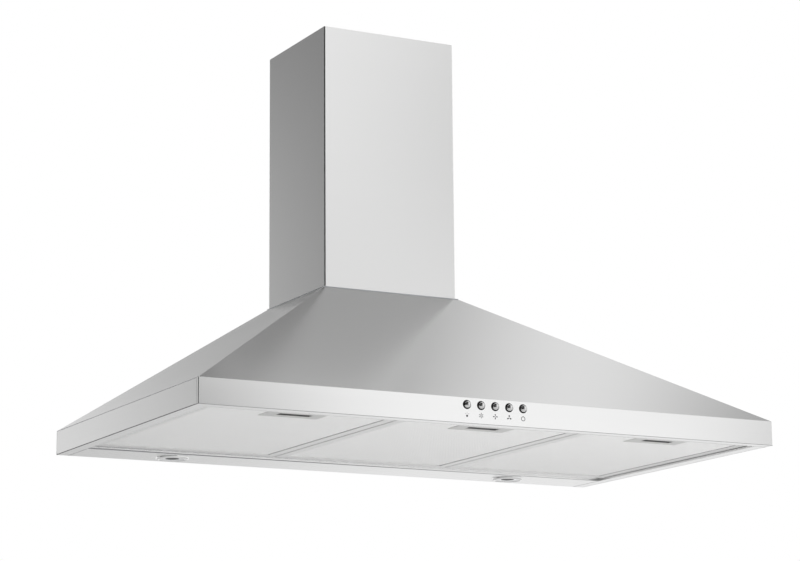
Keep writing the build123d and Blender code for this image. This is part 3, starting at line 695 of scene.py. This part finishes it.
def make_finishes():
    """Makes the material of every slot of the record, and those of the sheets by their grain."""
    finish = bpy.context.scene.hood_finish
    sizes = bpy.context.scene.hood_sizes
    steel = finish.steel
    rough = finish.steel_roughness
    for name, look in METALS.items():
        finishes[name] = turned_metal(name, *look)
    for name, look in PLASTICS.items():
        finishes[name] = moulded_plastic(name, *look)
    finishes.update(
        stainless_sheet=brushed_steel("brushed_steel", tint(steel, 1.05), rough, "round"),
        stainless_front=brushed_steel("brushed_steel_front", steel, rough, "x"),
        # tint 1.06: a lighter copy of the steel, painted light that brightens the front band
        stainless_band=brushed_steel("brushed_steel_band", tint(steel, 1.06), rough * 0.6, "x"),
        stainless_side=brushed_steel("brushed_steel_side", steel, rough, "y"),
        galvanised_sheet=galvanised_sheet("galvanised_sheet", finish.galvanised),
        zinc_steel=turned_metal("zinc_plated_steel", (0.62, 0.63, 0.64), 0.34, 160.0),
        chrome_trim=polished_chrome("polished_chrome", finish.chrome),
        lamp_glass=lamp_glass("lamp_glass", lens_centre, lens_radius),
        filter_frame_aluminium=rolled_aluminium("filter_frame", finish.aluminium, 0.33),
        filter_mesh_aluminium=mesh_layers(
            "filter_mesh", finish.aluminium, sizes.mesh_pitch_x, sizes.mesh_pitch_y
        ),
    )


# Operators


class HOOD_OT_finish(bpy.types.Operator):
    """Gives every node of the frame its procedural finish"""

    bl_idname = "hood.finish"
    bl_label = "Finish the frame"

    side_grain = ("canopy_left", "canopy_right")
    front_grain = ("canopy_front", "rim_rails", "lamp_panel", "neck_plate", "back_plate")
    boxes = ("terminal_box", "terminal_lid", "switch_block")

    def execute(self, context):
        make_finishes()
        for part in frame["record"]["subparts"]:
            name = part["node"]
            key = part["material_slot"]
            if name in self.side_grain:
                key = "stainless_side"
            elif name in self.front_grain and key == "stainless_sheet":
                key = "stainless_front"
            nodes[name].data.materials.clear()
            nodes[name].data.materials.append(finishes[key])
        rounded = self.side_grain + self.front_grain + self.boxes
        for side in FILTERS:
            rounded += ("filter_frame_" + side, "latch_plate_" + side)
        for name in rounded:
            self.round_edges(nodes[name], context.scene.hood_sizes.edge_round)
        return {"FINISHED"}

    def round_edges(self, node, width):
        """Welds a node's triangles, joins its flat faces and rounds its edges, all live."""
        add_modifier(node, "WELD", merge_threshold=TOUCH)
        add_modifier(node, "DECIMATE", decimate_type="DISSOLVE", angle_limit=radians(0.5))
        bends = {"limit_method": "ANGLE", "angle_limit": radians(35), "harden_normals": True}
        add_modifier(node, "BEVEL", width=width, segments=2, **bends)


class HOOD_OT_bands(bpy.types.Operator):
    """Models the front band with its folded ends, button holes and studs, and the side bands"""

    bl_idname = "hood.bands"
    bl_label = "Bands"

    def execute(self, context):
        sizes = context.scene.hood_sizes
        self.front(sizes)
        self.studs(sizes)
        self.sides(sizes)
        self.rim_seal_painted_shade(sizes)
        return {"FINISHED"}

    def front(self, sizes):
        """Sheet with its ends folded back in a bend, and a round hole for each button."""
        low = fascia_low
        high = fascia_high
        foot = (low.x, low.y, low.z + sizes.front_painted_shade_seal)
        band = start_block("front_band", foot, (high.x, low.y + sizes.sheet, high.z))
        edit(band)
        self.fold_ends(band, sizes)
        pick_edges(band, lambda at: at.y < low.y + TOUCH and abs(at.x) > high.x - TOUCH)
        bevel(sizes.corner_round, segments=5)
        close()
        radius = button_crown()[0] + sizes.button_gap
        for name in BUTTONS:
            middle = middle_of("button_" + name)
            place = (middle.x, low.y, middle.z)
            drill = start_rod("drill", radius, 6 * sizes.sheet, place)
            apply_modifier(band, "BOOLEAN", object=drill, operation="DIFFERENCE", solver="EXACT")
            bpy.data.objects.remove(drill)
        fit(band, "hood", "stainless_sheet", finishes["stainless_band"], "front_fascia")

    def fold_ends(self, piece, sizes):
        """Draws the two ends of an open strip back, a sheet wide."""
        inner_x = fascia_high.x - sizes.sheet
        for side in (-1, 1):
            cut((side * inner_x, 0, 0), ACROSS)
        pick_faces(piece, lambda at, n: n.y > 0.5 and abs(at.x) > inner_x)
        push((0, sizes.corner_return, 0))

    def studs(self, sizes):
        """Welded studs behind the front band, with a chamfered end, for the switch block's nuts."""
        nut_low, nut_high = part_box("switch_nuts")
        middle = (nut_low + nut_high) / 2
        ends = [v.co for v in nodes["front_fascia"].data.vertices if v.co.y > nut_low.y]
        left = [at for at in ends if at.x < middle.x]
        low_x = min(at.x for at in left)
        radius = (max(at.x for at in left) - low_x) / 2
        inner_y = fascia_low.y + sizes.sheet
        end_y = max(at.y for at in left)
        place = (low_x + radius, (inner_y + end_y) / 2, middle.z)
        stud = start_rod("band_stud_left", radius, end_y - inner_y, place)
        edit(stud)
        pick_edges(stud, lambda at: at.y > end_y - TOUCH)
        bevel(radius / 4, segments=1)
        close()
        across = 2 * (middle.x - low_x - radius)
        for piece in (stud, copy_piece(stud, "band_stud_right", across)):
            fit(piece, "hood", "zinc_steel", finishes["zinc_steel"], "front_fascia")

    def sides(self, sizes):
        """Flat sheets behind the folded ends of the front band, each under a grey seam strip that
        paints the shade of its joint with the canopy.
        """
        # grey sealant strip: painted shade of the joint between side band and canopy
        sealant_painted_shade = sealant("band_painted_shade_seam", tint(bpy.context.scene.hood_finish.seal, 3.8))
        front_y = fascia_low.y + sizes.sheet + sizes.corner_return + sizes.seam_gap
        outer_x = fascia_high.x - sizes.sheet / 2
        for side in SIDES:
            name = "side_band_" + side
            low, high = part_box(name)
            seam_z = high.z - sizes.band_painted_shade_seam
            foot = (low.x, front_y, low.z + sizes.painted_shade_seal_height)
            band = start_block("side_panel_" + side, foot, (high.x, high.y, seam_z))
            edit(band)
            pick_all()
            bevel(sizes.edge_round, segments=2)
            close()
            fit(band, "hood", "stainless_sheet", finishes["stainless_side"], name)
            seam = start_block("band_painted_shade_seam_" + side, (low.x, front_y, seam_z), high)
            edit(seam)
            pick_faces(seam, lambda at, n: abs(n.x) > 0.5 and abs(at.x) > outer_x)
            bpy.ops.mesh.inset(thickness=sizes.band_painted_shade_seam / 4, depth=-sizes.band_painted_shade_seam / 3)
            close()
            fit(seam, "hood", "black_rubber", sealant_painted_shade)

    def rim_seal_painted_shade(self, sizes):
        """Line of sealant along the foot of the three bands, higher under the side bands, coloured
        dark as painted shade of the gap under them.
        """
        low = fascia_low
        head = (fascia_high.x, low.y + sizes.sheet, sizes.front_painted_shade_seal)
        line = start_block("rim_seal_painted_shade", (low.x, low.y, 0), head)
        edit(line)
        self.fold_ends(line, sizes)
        back_y = low.y + sizes.sheet + sizes.corner_return
        push((0, band_high.y - back_y, 0))
        pick_faces(line, lambda at, n: n.z > 0.5 and at.y > back_y)
        push((0, 0, sizes.painted_shade_seal_height - sizes.front_painted_shade_seal))
        close()
        # dark sealant colour: painted shade of the gap under the bands
        sealant_painted_shade = sealant("rim_seal_painted_shade", bpy.context.scene.hood_finish.seal)
        fit(line, "hood", "black_rubber", sealant_painted_shade)


def button_crown():
    """Radius of a button's crown, and how far its straight rim stands out of the front band."""
    name = "button_" + BUTTONS[0]
    middle_x = middle_of(name).x
    ahead = [v.co for v in nodes[name].data.vertices if v.co.y < fascia_low.y]
    radius = max(at.x - middle_x for at in ahead)
    rim = max(fascia_low.y - at.y for at in ahead if at.x - middle_x > radius - NEAR)
    return radius, rim


class HOOD_OT_buttons(bpy.types.Operator):
    """Turns the five push buttons, a chrome cap in a black plated collar each; the cap's darker
    chrome and the black collar are painted dark reflection
    """

    bl_idname = "hood.buttons"
    bl_label = "Buttons"

    def execute(self, context):
        sizes = context.scene.hood_sizes
        # darker chrome cap and black collar: painted dark reflection on the buttons
        chrome_painted_darker = polished_chrome("cap_chrome_painted_darker", tint(context.scene.hood_finish.chrome, 0.9))
        black = polished_chrome("collar_painted_dark_reflection", (0.03, 0.03, 0.032))
        low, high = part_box("button_" + BUTTONS[0])
        middle = (low + high) / 2
        radius, rim = button_crown()
        tip = fascia_low.y - low.y
        foot = -1.5 * sizes.sheet
        dome = radius - sizes.button_painted_reflection_collar
        seat = rim * 0.6
        lip = sizes.button_painted_reflection_collar * 0.3
        collar_profile = [(dome, foot), (dome, seat * 0.9), (dome + lip, seat)]
        collar_profile += [(radius - lip, seat), (radius, seat * 0.85), (radius, foot)]
        collar_profile.append((dome, foot))
        stem = radius * 0.42
        stem_end = fascia_low.y - high.y
        cap_profile = cap(dome, seat, tip, count=10)
        cap_profile += [(dome, foot), (stem, foot), (stem, stem_end), (0, stem_end)]
        place = (middle.x, fascia_low.y, middle.z)
        for kind, profile, material in (
            ("chrome_button", cap_profile, chrome_painted_darker),
            ("button_painted_reflection_collar", collar_profile, black),
        ):
            first = turn(kind, profile, place, FORWARD)
            for name, piece in spread(first, "button_", BUTTONS[0], BUTTONS):
                body = "button_" + name
                fit(piece, body, "chrome_trim", material, body)
        return {"FINISHED"}


class HOOD_OT_symbols(bpy.types.Operator):
    """Prints the function symbols under the buttons"""

    bl_idname = "hood.symbols"
    bl_label = "Symbols"

    arms = {"high": 6, "medium": 4, "low": 3}

    def execute(self, context):
        sizes = context.scene.hood_sizes
        ink = printed_ink("symbol_ink", context.scene.hood_finish.ink)
        for name in BUTTONS:
            middle = middle_of("button_" + name)
            centre = Vector((middle.x, fascia_low.y, middle.z - sizes.symbol_drop))
            if name in self.arms:
                symbol = self.blades(name, centre, sizes)
            elif name == "off":
                symbol = self.ring(name, centre, sizes)
            else:
                symbol = self.lamp(name, centre, sizes)
            fit(symbol, "hood", "switch_plastic", ink)
        return {"FINISHED"}

    def blades(self, name, centre, sizes):
        """Fan of tapered blades round a centre."""
        count = self.arms[name]
        reach = sizes.symbol_size / 2
        wide = reach * 0.95 / count
        foot = centre + Vector((-wide, -sizes.symbol_ink, reach * 0.2))
        symbol = start_block("symbol_" + name, foot, centre + Vector((wide, 0, reach)))
        edit(symbol)
        pick_faces(symbol, lambda at, n: n.z < -0.5)
        bpy.ops.transform.resize(value=(0.45, 1, 1))
        pick_all()
        for _ in range(count - 1):
            bpy.ops.mesh.duplicate()
            self.swing(2 * pi / count, centre)
        close()
        return symbol

    def swing(self, angle, centre):
        """Turns what is selected in the plane of the front band."""
        bpy.ops.transform.rotate(value=angle, orient_axis="Y", center_override=centre)

    def ring(self, name, centre, sizes):
        """Open ring with a short bar at its top."""
        ink = sizes.symbol_ink
        outer = sizes.symbol_size * 0.46
        inner = outer * 0.76
        profile = [(inner, 0), (inner, ink), (outer, ink), (outer, 0), (inner, 0)]
        symbol = turn("symbol_" + name, profile, centre, FORWARD)
        edit(symbol)
        add_block(centre + Vector((0, -ink / 2, outer)), (outer * 0.16, ink, outer * 0.5))
        close()
        return symbol

    def lamp(self, name, centre, sizes):
        """Lamp dot with three rays."""
        ink = sizes.symbol_ink
        reach = sizes.symbol_size / 2
        radius = reach * 0.42
        foot = centre - Vector((0, 0, reach * 0.45))
        dot = [(0, ink), (radius, ink), (radius, 0), (0, 0)]
        symbol = turn("symbol_" + name, dot, foot, FORWARD)
        edit(symbol)
        ray = foot + Vector((0, -ink / 2, reach * 1.05))
        for angle in (-40, 0, 40):
            add_block(ray, (reach * 0.16, ink, reach * 0.42))
            self.swing(radians(angle), foot)
        close()
        return symbol


def filter_window():
    """Corners of the opening in the lower face of the centre filter's frame."""
    edge = 0.002  # keeps clear of the frame's outer edge
    inside = []
    for vertex in nodes["filter_frame_centre"].data.vertices:
        at = vertex.co
        across = filter_low.x + edge < at.x < filter_high.x - edge
        along = filter_low.y + edge < at.y < filter_high.y - edge
        if at.z < filter_low.z + NEAR and across and along:
            inside.append(at)
    low = Vector((min(at.x for at in inside), min(at.y for at in inside), mesh_low.z))
    high = Vector((max(at.x for at in inside), max(at.y for at in inside), mesh_low.z))
    return low, high


class HOOD_OT_filters(bpy.types.Operator):
    """Expands the visible mesh sheet of the three grease filters"""

    bl_idname = "hood.filters"
    bl_label = "Filter mesh"

    def execute(self, context):
        strand = expanded_sheet("expanded_sheet", context.scene.hood_finish.aluminium)
        lattice = self.expand(context.scene.hood_sizes)
        for side, face in spread(lattice, "filter_mesh_", "centre", FILTERS):
            fit(face, "filter_" + side, "filter_mesh_aluminium", strand, angle=20)
        return {"FINISHED"}

    def expand(self, sizes):
        """Sheet of tilted diamond rings, trimmed to the frame's window and the latch plate."""
        half_x = sizes.mesh_pitch_x / 2
        half_y = sizes.mesh_pitch_y / 2
        low, high = filter_window()
        # the mesh stops short of the window's right edge, where the strip of painted shade lies
        high.x -= sizes.painted_shade_hem
        rise = half_y * sin(sizes.mesh_tilt) + sizes.mesh_sheet
        corner = Vector((low.x, low.y, low.z - rise))
        lattice = start_disc("mesh_face", corners=4, radius=1, centre=corner)
        edit(lattice)
        pick_all()
        bpy.ops.transform.resize(value=(half_x, half_y, 1), center_override=corner)
        bpy.ops.mesh.inset(thickness=sizes.mesh_strand)
        bpy.ops.mesh.delete(type="FACE")
        pick_all()
        bpy.ops.transform.rotate(value=sizes.mesh_tilt, orient_axis="X", center_override=corner)
        bpy.ops.mesh.duplicate_move(TRANSFORM_OT_translate={"value": (half_x, half_y, 0)})
        close(clean=False)
        span = high - low
        for axis, pitch in ((0, 2 * half_x), (1, 2 * half_y)):
            step = [0, 0, 0]
            step[axis] = pitch
            count = int(span[axis] / pitch) + 2
            offset = {"use_relative_offset": False, "use_constant_offset": True}
            offset["constant_offset_displace"] = step
            apply_modifier(lattice, "ARRAY", count=count, **offset)
        edit(lattice)
        for axis in (0, 1):
            out = Vector((0, 0, 0))
            out[axis] = 1
            cut(high, out, keep_behind=True)
            cut(low, -out, keep_behind=True)
        plate_low, plate_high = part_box("latch_plate_centre")
        left_x = plate_low.x + half_x
        right_x = plate_high.x - half_x
        back_y = plate_high.y - half_x
        pick_faces(lattice, lambda at, n: left_x < at.x < right_x and at.y < back_y)
        bpy.ops.mesh.delete(type="FACE")
        close(clean=False)
        apply_modifier(lattice, "SOLIDIFY", thickness=sizes.mesh_sheet, offset=0)
        return lattice


class HOOD_OT_springs(bpy.types.Operator):
    """Bends the leaf springs of the three latches"""

    bl_idname = "hood.springs"
    bl_label = "Latch springs"

    spare = 1.04  # a bolt's travel is taken this many times over

    def execute(self, context):
        low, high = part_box("latch_spring_centre")
        rise = high.y - low.y
        first = self.bow(low, high, context.scene.hood_sizes.leaf)
        for side, spring in spread(first, "latch_spring_", "centre", FILTERS):
            node = "latch_spring_" + side
            joint = "latch_" + side + "_pull"
            fit(spring, "filter_" + side, "spring_steel", finishes["spring_steel"], node)
            1 - self.travel(joint) / rise
            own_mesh(spring)
        return {"FINISHED"}

    def travel(self, name):
        """How far a bolt is pulled, with a little to spare."""
        for joint in frame["record"]["behaviour"]["joints"]:
            if joint["name"] == name:
                return self.spare * max(joint["range_m"])
        raise ValueError("no joint named " + name)

    def bow(self, low, high, leaf):
        """Leaf bent along an arc between its two feet on the back wall of the housing."""
        half = (high.x - low.x) / 2
        rise = high.y - low.y
        bend = (half * half + rise * rise) / (2 * rise)
        angle = acos((bend - rise) / (bend - leaf))
        middle = (low + high) / 2
        centre = Vector((middle.x, low.y + bend, middle.z))
        foot = centre + Vector((-sin(angle), -cos(angle), 0)) * (bend - leaf / 2)
        add = bpy.ops.mesh.primitive_plane_add
        upright = (0, pi / 2, -angle)
        spring = start(add, "bow_spring", size=leaf, location=foot, rotation=upright)
        edit(spring)
        pick_all()
        bpy.ops.transform.resize(value=(1, 1, (high.z - low.z) / leaf), center_override=foot)
        bpy.ops.mesh.spin(steps=24, angle=-2 * angle, center=centre, axis=(0, 0, 1))
        close()
        return spring


class HOOD_OT_joints(bpy.types.Operator):
    """Fills the joints of the underside with dark strips, round the lamp panel and along the filter
    windows; the strip on the panel's lip and those along the windows are painted shade
    """

    bl_idname = "hood.joints"
    bl_label = "Underside joints"

    def execute(self, context):
        sizes = context.scene.hood_sizes
        # one dark sealant colour for the end beads and for the strips of painted shade
        sealant_painted_shade = sealant("joint_line_painted_shade", tint(context.scene.hood_finish.seal, 2))
        low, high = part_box("lamp_panel")
        lip_y = min(v.co.y for v in nodes["lamp_panel"].data.vertices if v.co.z < low.z + NEAR)
        left = self.bead(low, high, lip_y, sizes)
        right = copy_piece(left, "panel_bead_right", high.x - low.x)
        for line in (self.painted_shade_gasket(low, high, lip_y, sizes), left, right):
            fit(line, "hood", "black_rubber", sealant_painted_shade)
        for side, line in spread(self.painted_shade_hem(sizes), "filter_frame_", "centre", FILTERS):
            fit(line, "filter_" + side, "black_rubber", sealant_painted_shade)
        return {"FINISHED"}

    def painted_shade_gasket(self, low, high, lip_y, sizes):
        """Dark strip on the lip of the lamp panel, high at its left end and low at its right end:
        painted shade of the gap along the lip.
        """
        foot_z = low.z + sizes.edge_round
        foot = (low.x, lip_y - sizes.bead / 3, foot_z)
        strip = start_block("panel_lip_painted_shade", foot, (high.x, lip_y, foot_z + sizes.painted_shade_gasket))
        edit(strip)
        pick_faces(strip, lambda at, n: n.x > 0.5)
        bpy.ops.transform.resize(value=(1, 1, 0.08), center_override=(0, 0, foot_z))
        pick_edges(strip, lambda at: at.y < lip_y - sizes.bead / 6)
        bevel(sizes.bead / 9, segments=2)
        close()
        return strip

    def bead(self, low, high, lip_y, sizes):
        """Thin bead of sealant between an end of the lamp panel and the rim."""
        half = sizes.bead / 2
        foot = (low.x - half, lip_y, low.z - half / 3)
        line = start_block("panel_bead_left", foot, (low.x + half, high.y, low.z + half / 3))
        edit(line)
        pick_faces(line, lambda at, n: n.z < -0.5)
        bevel(half / 4, segments=2)
        close()
        return line

    def painted_shade_hem(self, sizes):
        """Dark strip along the right edge of a filter's window: painted shade of the joint between
        mesh and frame.
        """
        low, high = filter_window()
        foot = (high.x - sizes.painted_shade_hem, low.y, (filter_low.z + mesh_low.z) / 2)
        line = start_block("window_painted_shade_strip", foot, (high.x, high.y, mesh_low.z))
        edit(line)
        pick_faces(line, lambda at, n: n.z < -0.5)
        bpy.ops.mesh.inset(thickness=sizes.painted_shade_hem / 5, depth=-sizes.painted_shade_hem / 5)
        close()
        return line


class HOOD_OT_lamps(bpy.types.Operator):
    """Turns the rings and lenses of the two lamps"""

    bl_idname = "hood.lamps"
    bl_label = "Lamps"

    def execute(self, context):
        radius = (bezels_high.y - bezels_low.y) / 2
        proud = bezels_high.z - bezels_low.z
        glass = lens_radius
        depth = lenses_high.z - lenses_low.z
        left_x = bezels_low.x + radius
        centre = (left_x, (bezels_low.y + bezels_high.y) / 2, bezels_high.z)
        crest = (radius + glass) / 2
        inner_side = arc(crest, proud, glass, proud * 0.4, count=6)
        outer_side = arc(crest, proud, radius, 0, count=6)
        ring_profile = [(glass, 0)] + inner_side[::-1] + outer_side[1:] + [(glass, 0)]
        lens_profile = [(0, depth * 0.7), (glass * 0.5, depth * 0.72), (glass * 0.75, depth * 0.8)]
        lens_profile += [(glass * 0.9, depth * 0.9), (glass, depth), (glass, 0), (0, 0)]
        for name, profile, slot, node in (
            ("lamp_ring_", ring_profile, "chrome_trim", "lamp_bezels"),
            ("lamp_lens_", lens_profile, "lamp_glass", "lamp_lenses"),
        ):
            left = turn(name + "left", profile, centre, DOWN)
            for piece in (left, copy_piece(left, name + "right", -2 * left_x)):
                fit(piece, "hood", slot, finishes[slot], node)
        return {"FINISHED"}


class HOOD_OT_stage(bpy.types.Operator):
    """Sets up the camera, the soft studio light and the floor"""

    bl_idname = "hood.stage"
    bl_label = "Stage"

    # Dark studio flags that metal reflects: azimuth from +Y to the right, elevation, half width
    # of the dark core and of the soft edge, all in degrees, and how dark each one is
    flags = (
        (-44, 11, 14, 25, 0.92), (-37, 50, 9, 25, 0.77), (-105, 5, 36, 58, 0.97),
        (-150, 2, 14, 30, 0.99), (29, 48, 5, 14, 0.95), (25, 21, 1, 14, 0.79),
        (62, 37, 6, 15, 0.95), (162, 5, 2, 10, 0.95), (146, 16, 1, 6, 0.95),
        (137, 6, 2, 9, 0.70), (-15, 24, 6, 12, 0.95), (139, 48, 7, 21, 0.65),
        (16, -13, 1, 13, 0.42), (40, -14, 14, 34, 0.10), (-174, 36, 12, 27, 0.99),
        (-178, -2, 7, 20, 0.98), (-150, 72, 22, 35, 0.97),
    )
    # Place and width of the two lamps
    key_lamp = ((1.6, -2.6, 2.2), 1.6)
    fill_lamp = ((0.3, -1.4, -1.2), 1.2)
    floor_radius = 5
    floor_edge = (0.02, 0.004)  # width and height of the step at the floor's edge

    def execute(self, context):
        stage = context.scene.hood_stage
        context.scene.view_settings.view_transform = "Standard"
        self.camera(stage)
        self.sky(stage)
        self.lamp("key_lamp", stage.key_power, *self.key_lamp)
        self.lamp("fill_lamp", stage.fill_power, *self.fill_lamp)
        self.floor(stage)
        return {"FINISHED"}

    def camera(self, stage):
        """Camera at its place, turned by its yaw, pitch and roll."""
        turned = Matrix.Rotation(-stage.camera_yaw, 3, "Z")
        turned @= Matrix.Rotation(pi / 2 + stage.camera_pitch, 3, "X")
        turned @= Matrix.Rotation(stage.camera_roll, 3, "Z")
        bpy.ops.object.camera_add(location=stage.camera_place, rotation=turned.to_euler())
        camera = bpy.context.active_object
        camera.name = "photo_camera"
        camera.data.sensor_width = 36
        camera.data.lens = stage.lens
        camera.data.clip_end = 100
        bpy.context.scene.camera = camera

    def sky(self, stage):
        """White all round for what is seen, with soft dark flags in what metal reflects."""
        world = bpy.data.worlds.new("studio")
        bpy.context.scene.world = world
        tree = Tree(world)
        towards = tree.source("ShaderNodeTexCoord", "Generated")
        light = 1
        for azimuth, elevation, core, edge, dark in self.flags:
            a = radians(azimuth)
            e = radians(elevation)
            flag = (sin(a) * cos(e), cos(a) * cos(e), sin(e))
            facing = tree.vector_math("DOT_PRODUCT", "Value", towards, flag)
            inside = tree.smooth_step(facing, cos(radians(edge)), cos(radians(core)))
            light = light * (1 - dark * inside)
        camera = tree.source("ShaderNodeLightPath", "Is Camera Ray")
        glossy = tree.source("ShaderNodeLightPath", "Is Glossy Ray")
        through = tree.source("ShaderNodeLightPath", "Is Transmission Ray")
        white = (1, 1, 1, 1)
        shade = tree.blend(1 - glossy * (1 - light), (0, 0, 0, 1), white)
        shown = {"Color": shade, "Strength": 1.0}
        soft = {"Color": white, "Strength": stage.sky_level}
        mixed = tree.mix_shaders(
            camera + glossy + through,
            tree.node("ShaderNodeBackground", "Background", soft),
            tree.node("ShaderNodeBackground", "Background", shown),
        )
        tree.node("ShaderNodeOutputWorld", None, {"Surface": mixed})

    def lamp(self, name, power, place, size):
        """Large soft lamp that points at the hood and leaves no image in its metal."""
        target = (cad_low + cad_high) / 2
        aim = (target - Vector(place)).to_track_quat("-Z", "Y")
        bpy.ops.object.light_add(type="AREA", location=place, rotation=aim.to_euler())
        lamp = bpy.context.active_object
        lamp.name = name
        lamp.data.energy = power
        lamp.data.size = size
        lamp.visible_glossy = False

    def floor(self, stage):
        """Round pale floor, well below the hood, seen from above only."""
        place = (0, 0, -stage.floor_drop)
        ground = start_disc("floor", corners=96, radius=self.floor_radius, centre=place)
        edit(ground)
        pick_all()
        width, height = self.floor_edge
        bpy.ops.mesh.inset(thickness=width, depth=height)
        close(clean=False)
        tree = new_tree("floor_paint")
        pale = tree.tones(tree.noise(2.0, 4.0, 0.6), stage.floor_colour, 0.97, 1.03)
        paint = {"Base Color": pale, "Roughness": 0.7}
        mixed = tree.mix_shaders(
            tree.source("ShaderNodeNewGeometry", "Backfacing"),
            tree.node("ShaderNodeBsdfPrincipled", "BSDF", paint),
            tree.source("ShaderNodeBsdfTransparent", "BSDF"),
        )
        tree.node("ShaderNodeOutputMaterial", None, {"Surface": mixed})
        ground.data.materials.append(tree.owner)


class HOOD_PT_sidebar(bpy.types.Panel):
    """Lists the steps that dress the hood"""

    bl_idname = "HOOD_PT_sidebar"
    bl_label = "Range hood"
    bl_space_type = "VIEW_3D"
    bl_region_type = "UI"
    bl_category = "Hood"

    def draw(self, context):
        column = self.layout.column()
        for step in STEPS:
            column.operator(step.bl_idname)
        for group in ("hood_sizes", "hood_finish", "hood_stage"):
            values = getattr(context.scene, group)
            for name in values.__annotations__:
                column.prop(values, name)


GROUPS = (HoodSizes, HoodFinish, HoodStage)
STEPS = (
    HOOD_OT_finish,
    HOOD_OT_bands,
    HOOD_OT_buttons,
    HOOD_OT_symbols,
    HOOD_OT_filters,
    HOOD_OT_springs,
    HOOD_OT_joints,
    HOOD_OT_lamps,
    HOOD_OT_stage,
)
CLASSES = GROUPS + STEPS + (HOOD_PT_sidebar,)


def register():
    for cls in CLASSES:
        bpy.utils.register_class(cls)
    bpy.types.Scene.hood_sizes = PointerProperty(type=HoodSizes)
    bpy.types.Scene.hood_finish = PointerProperty(type=HoodFinish)
    bpy.types.Scene.hood_stage = PointerProperty(type=HoodStage)


def unregister():
    del bpy.types.Scene.hood_stage
    del bpy.types.Scene.hood_finish
    del bpy.types.Scene.hood_sizes
    for cls in reversed(CLASSES):
        bpy.utils.unregister_class(cls)


def main():
    """Dresses the hood step by step."""
    register()
    bpy.ops.hood.finish()
    bpy.ops.hood.bands()
    bpy.ops.hood.buttons()
    bpy.ops.hood.symbols()
    bpy.ops.hood.filters()
    bpy.ops.hood.springs()
    bpy.ops.hood.joints()
    bpy.ops.hood.lamps()
    bpy.ops.hood.stage()


if __name__ == "__main__":
    main()
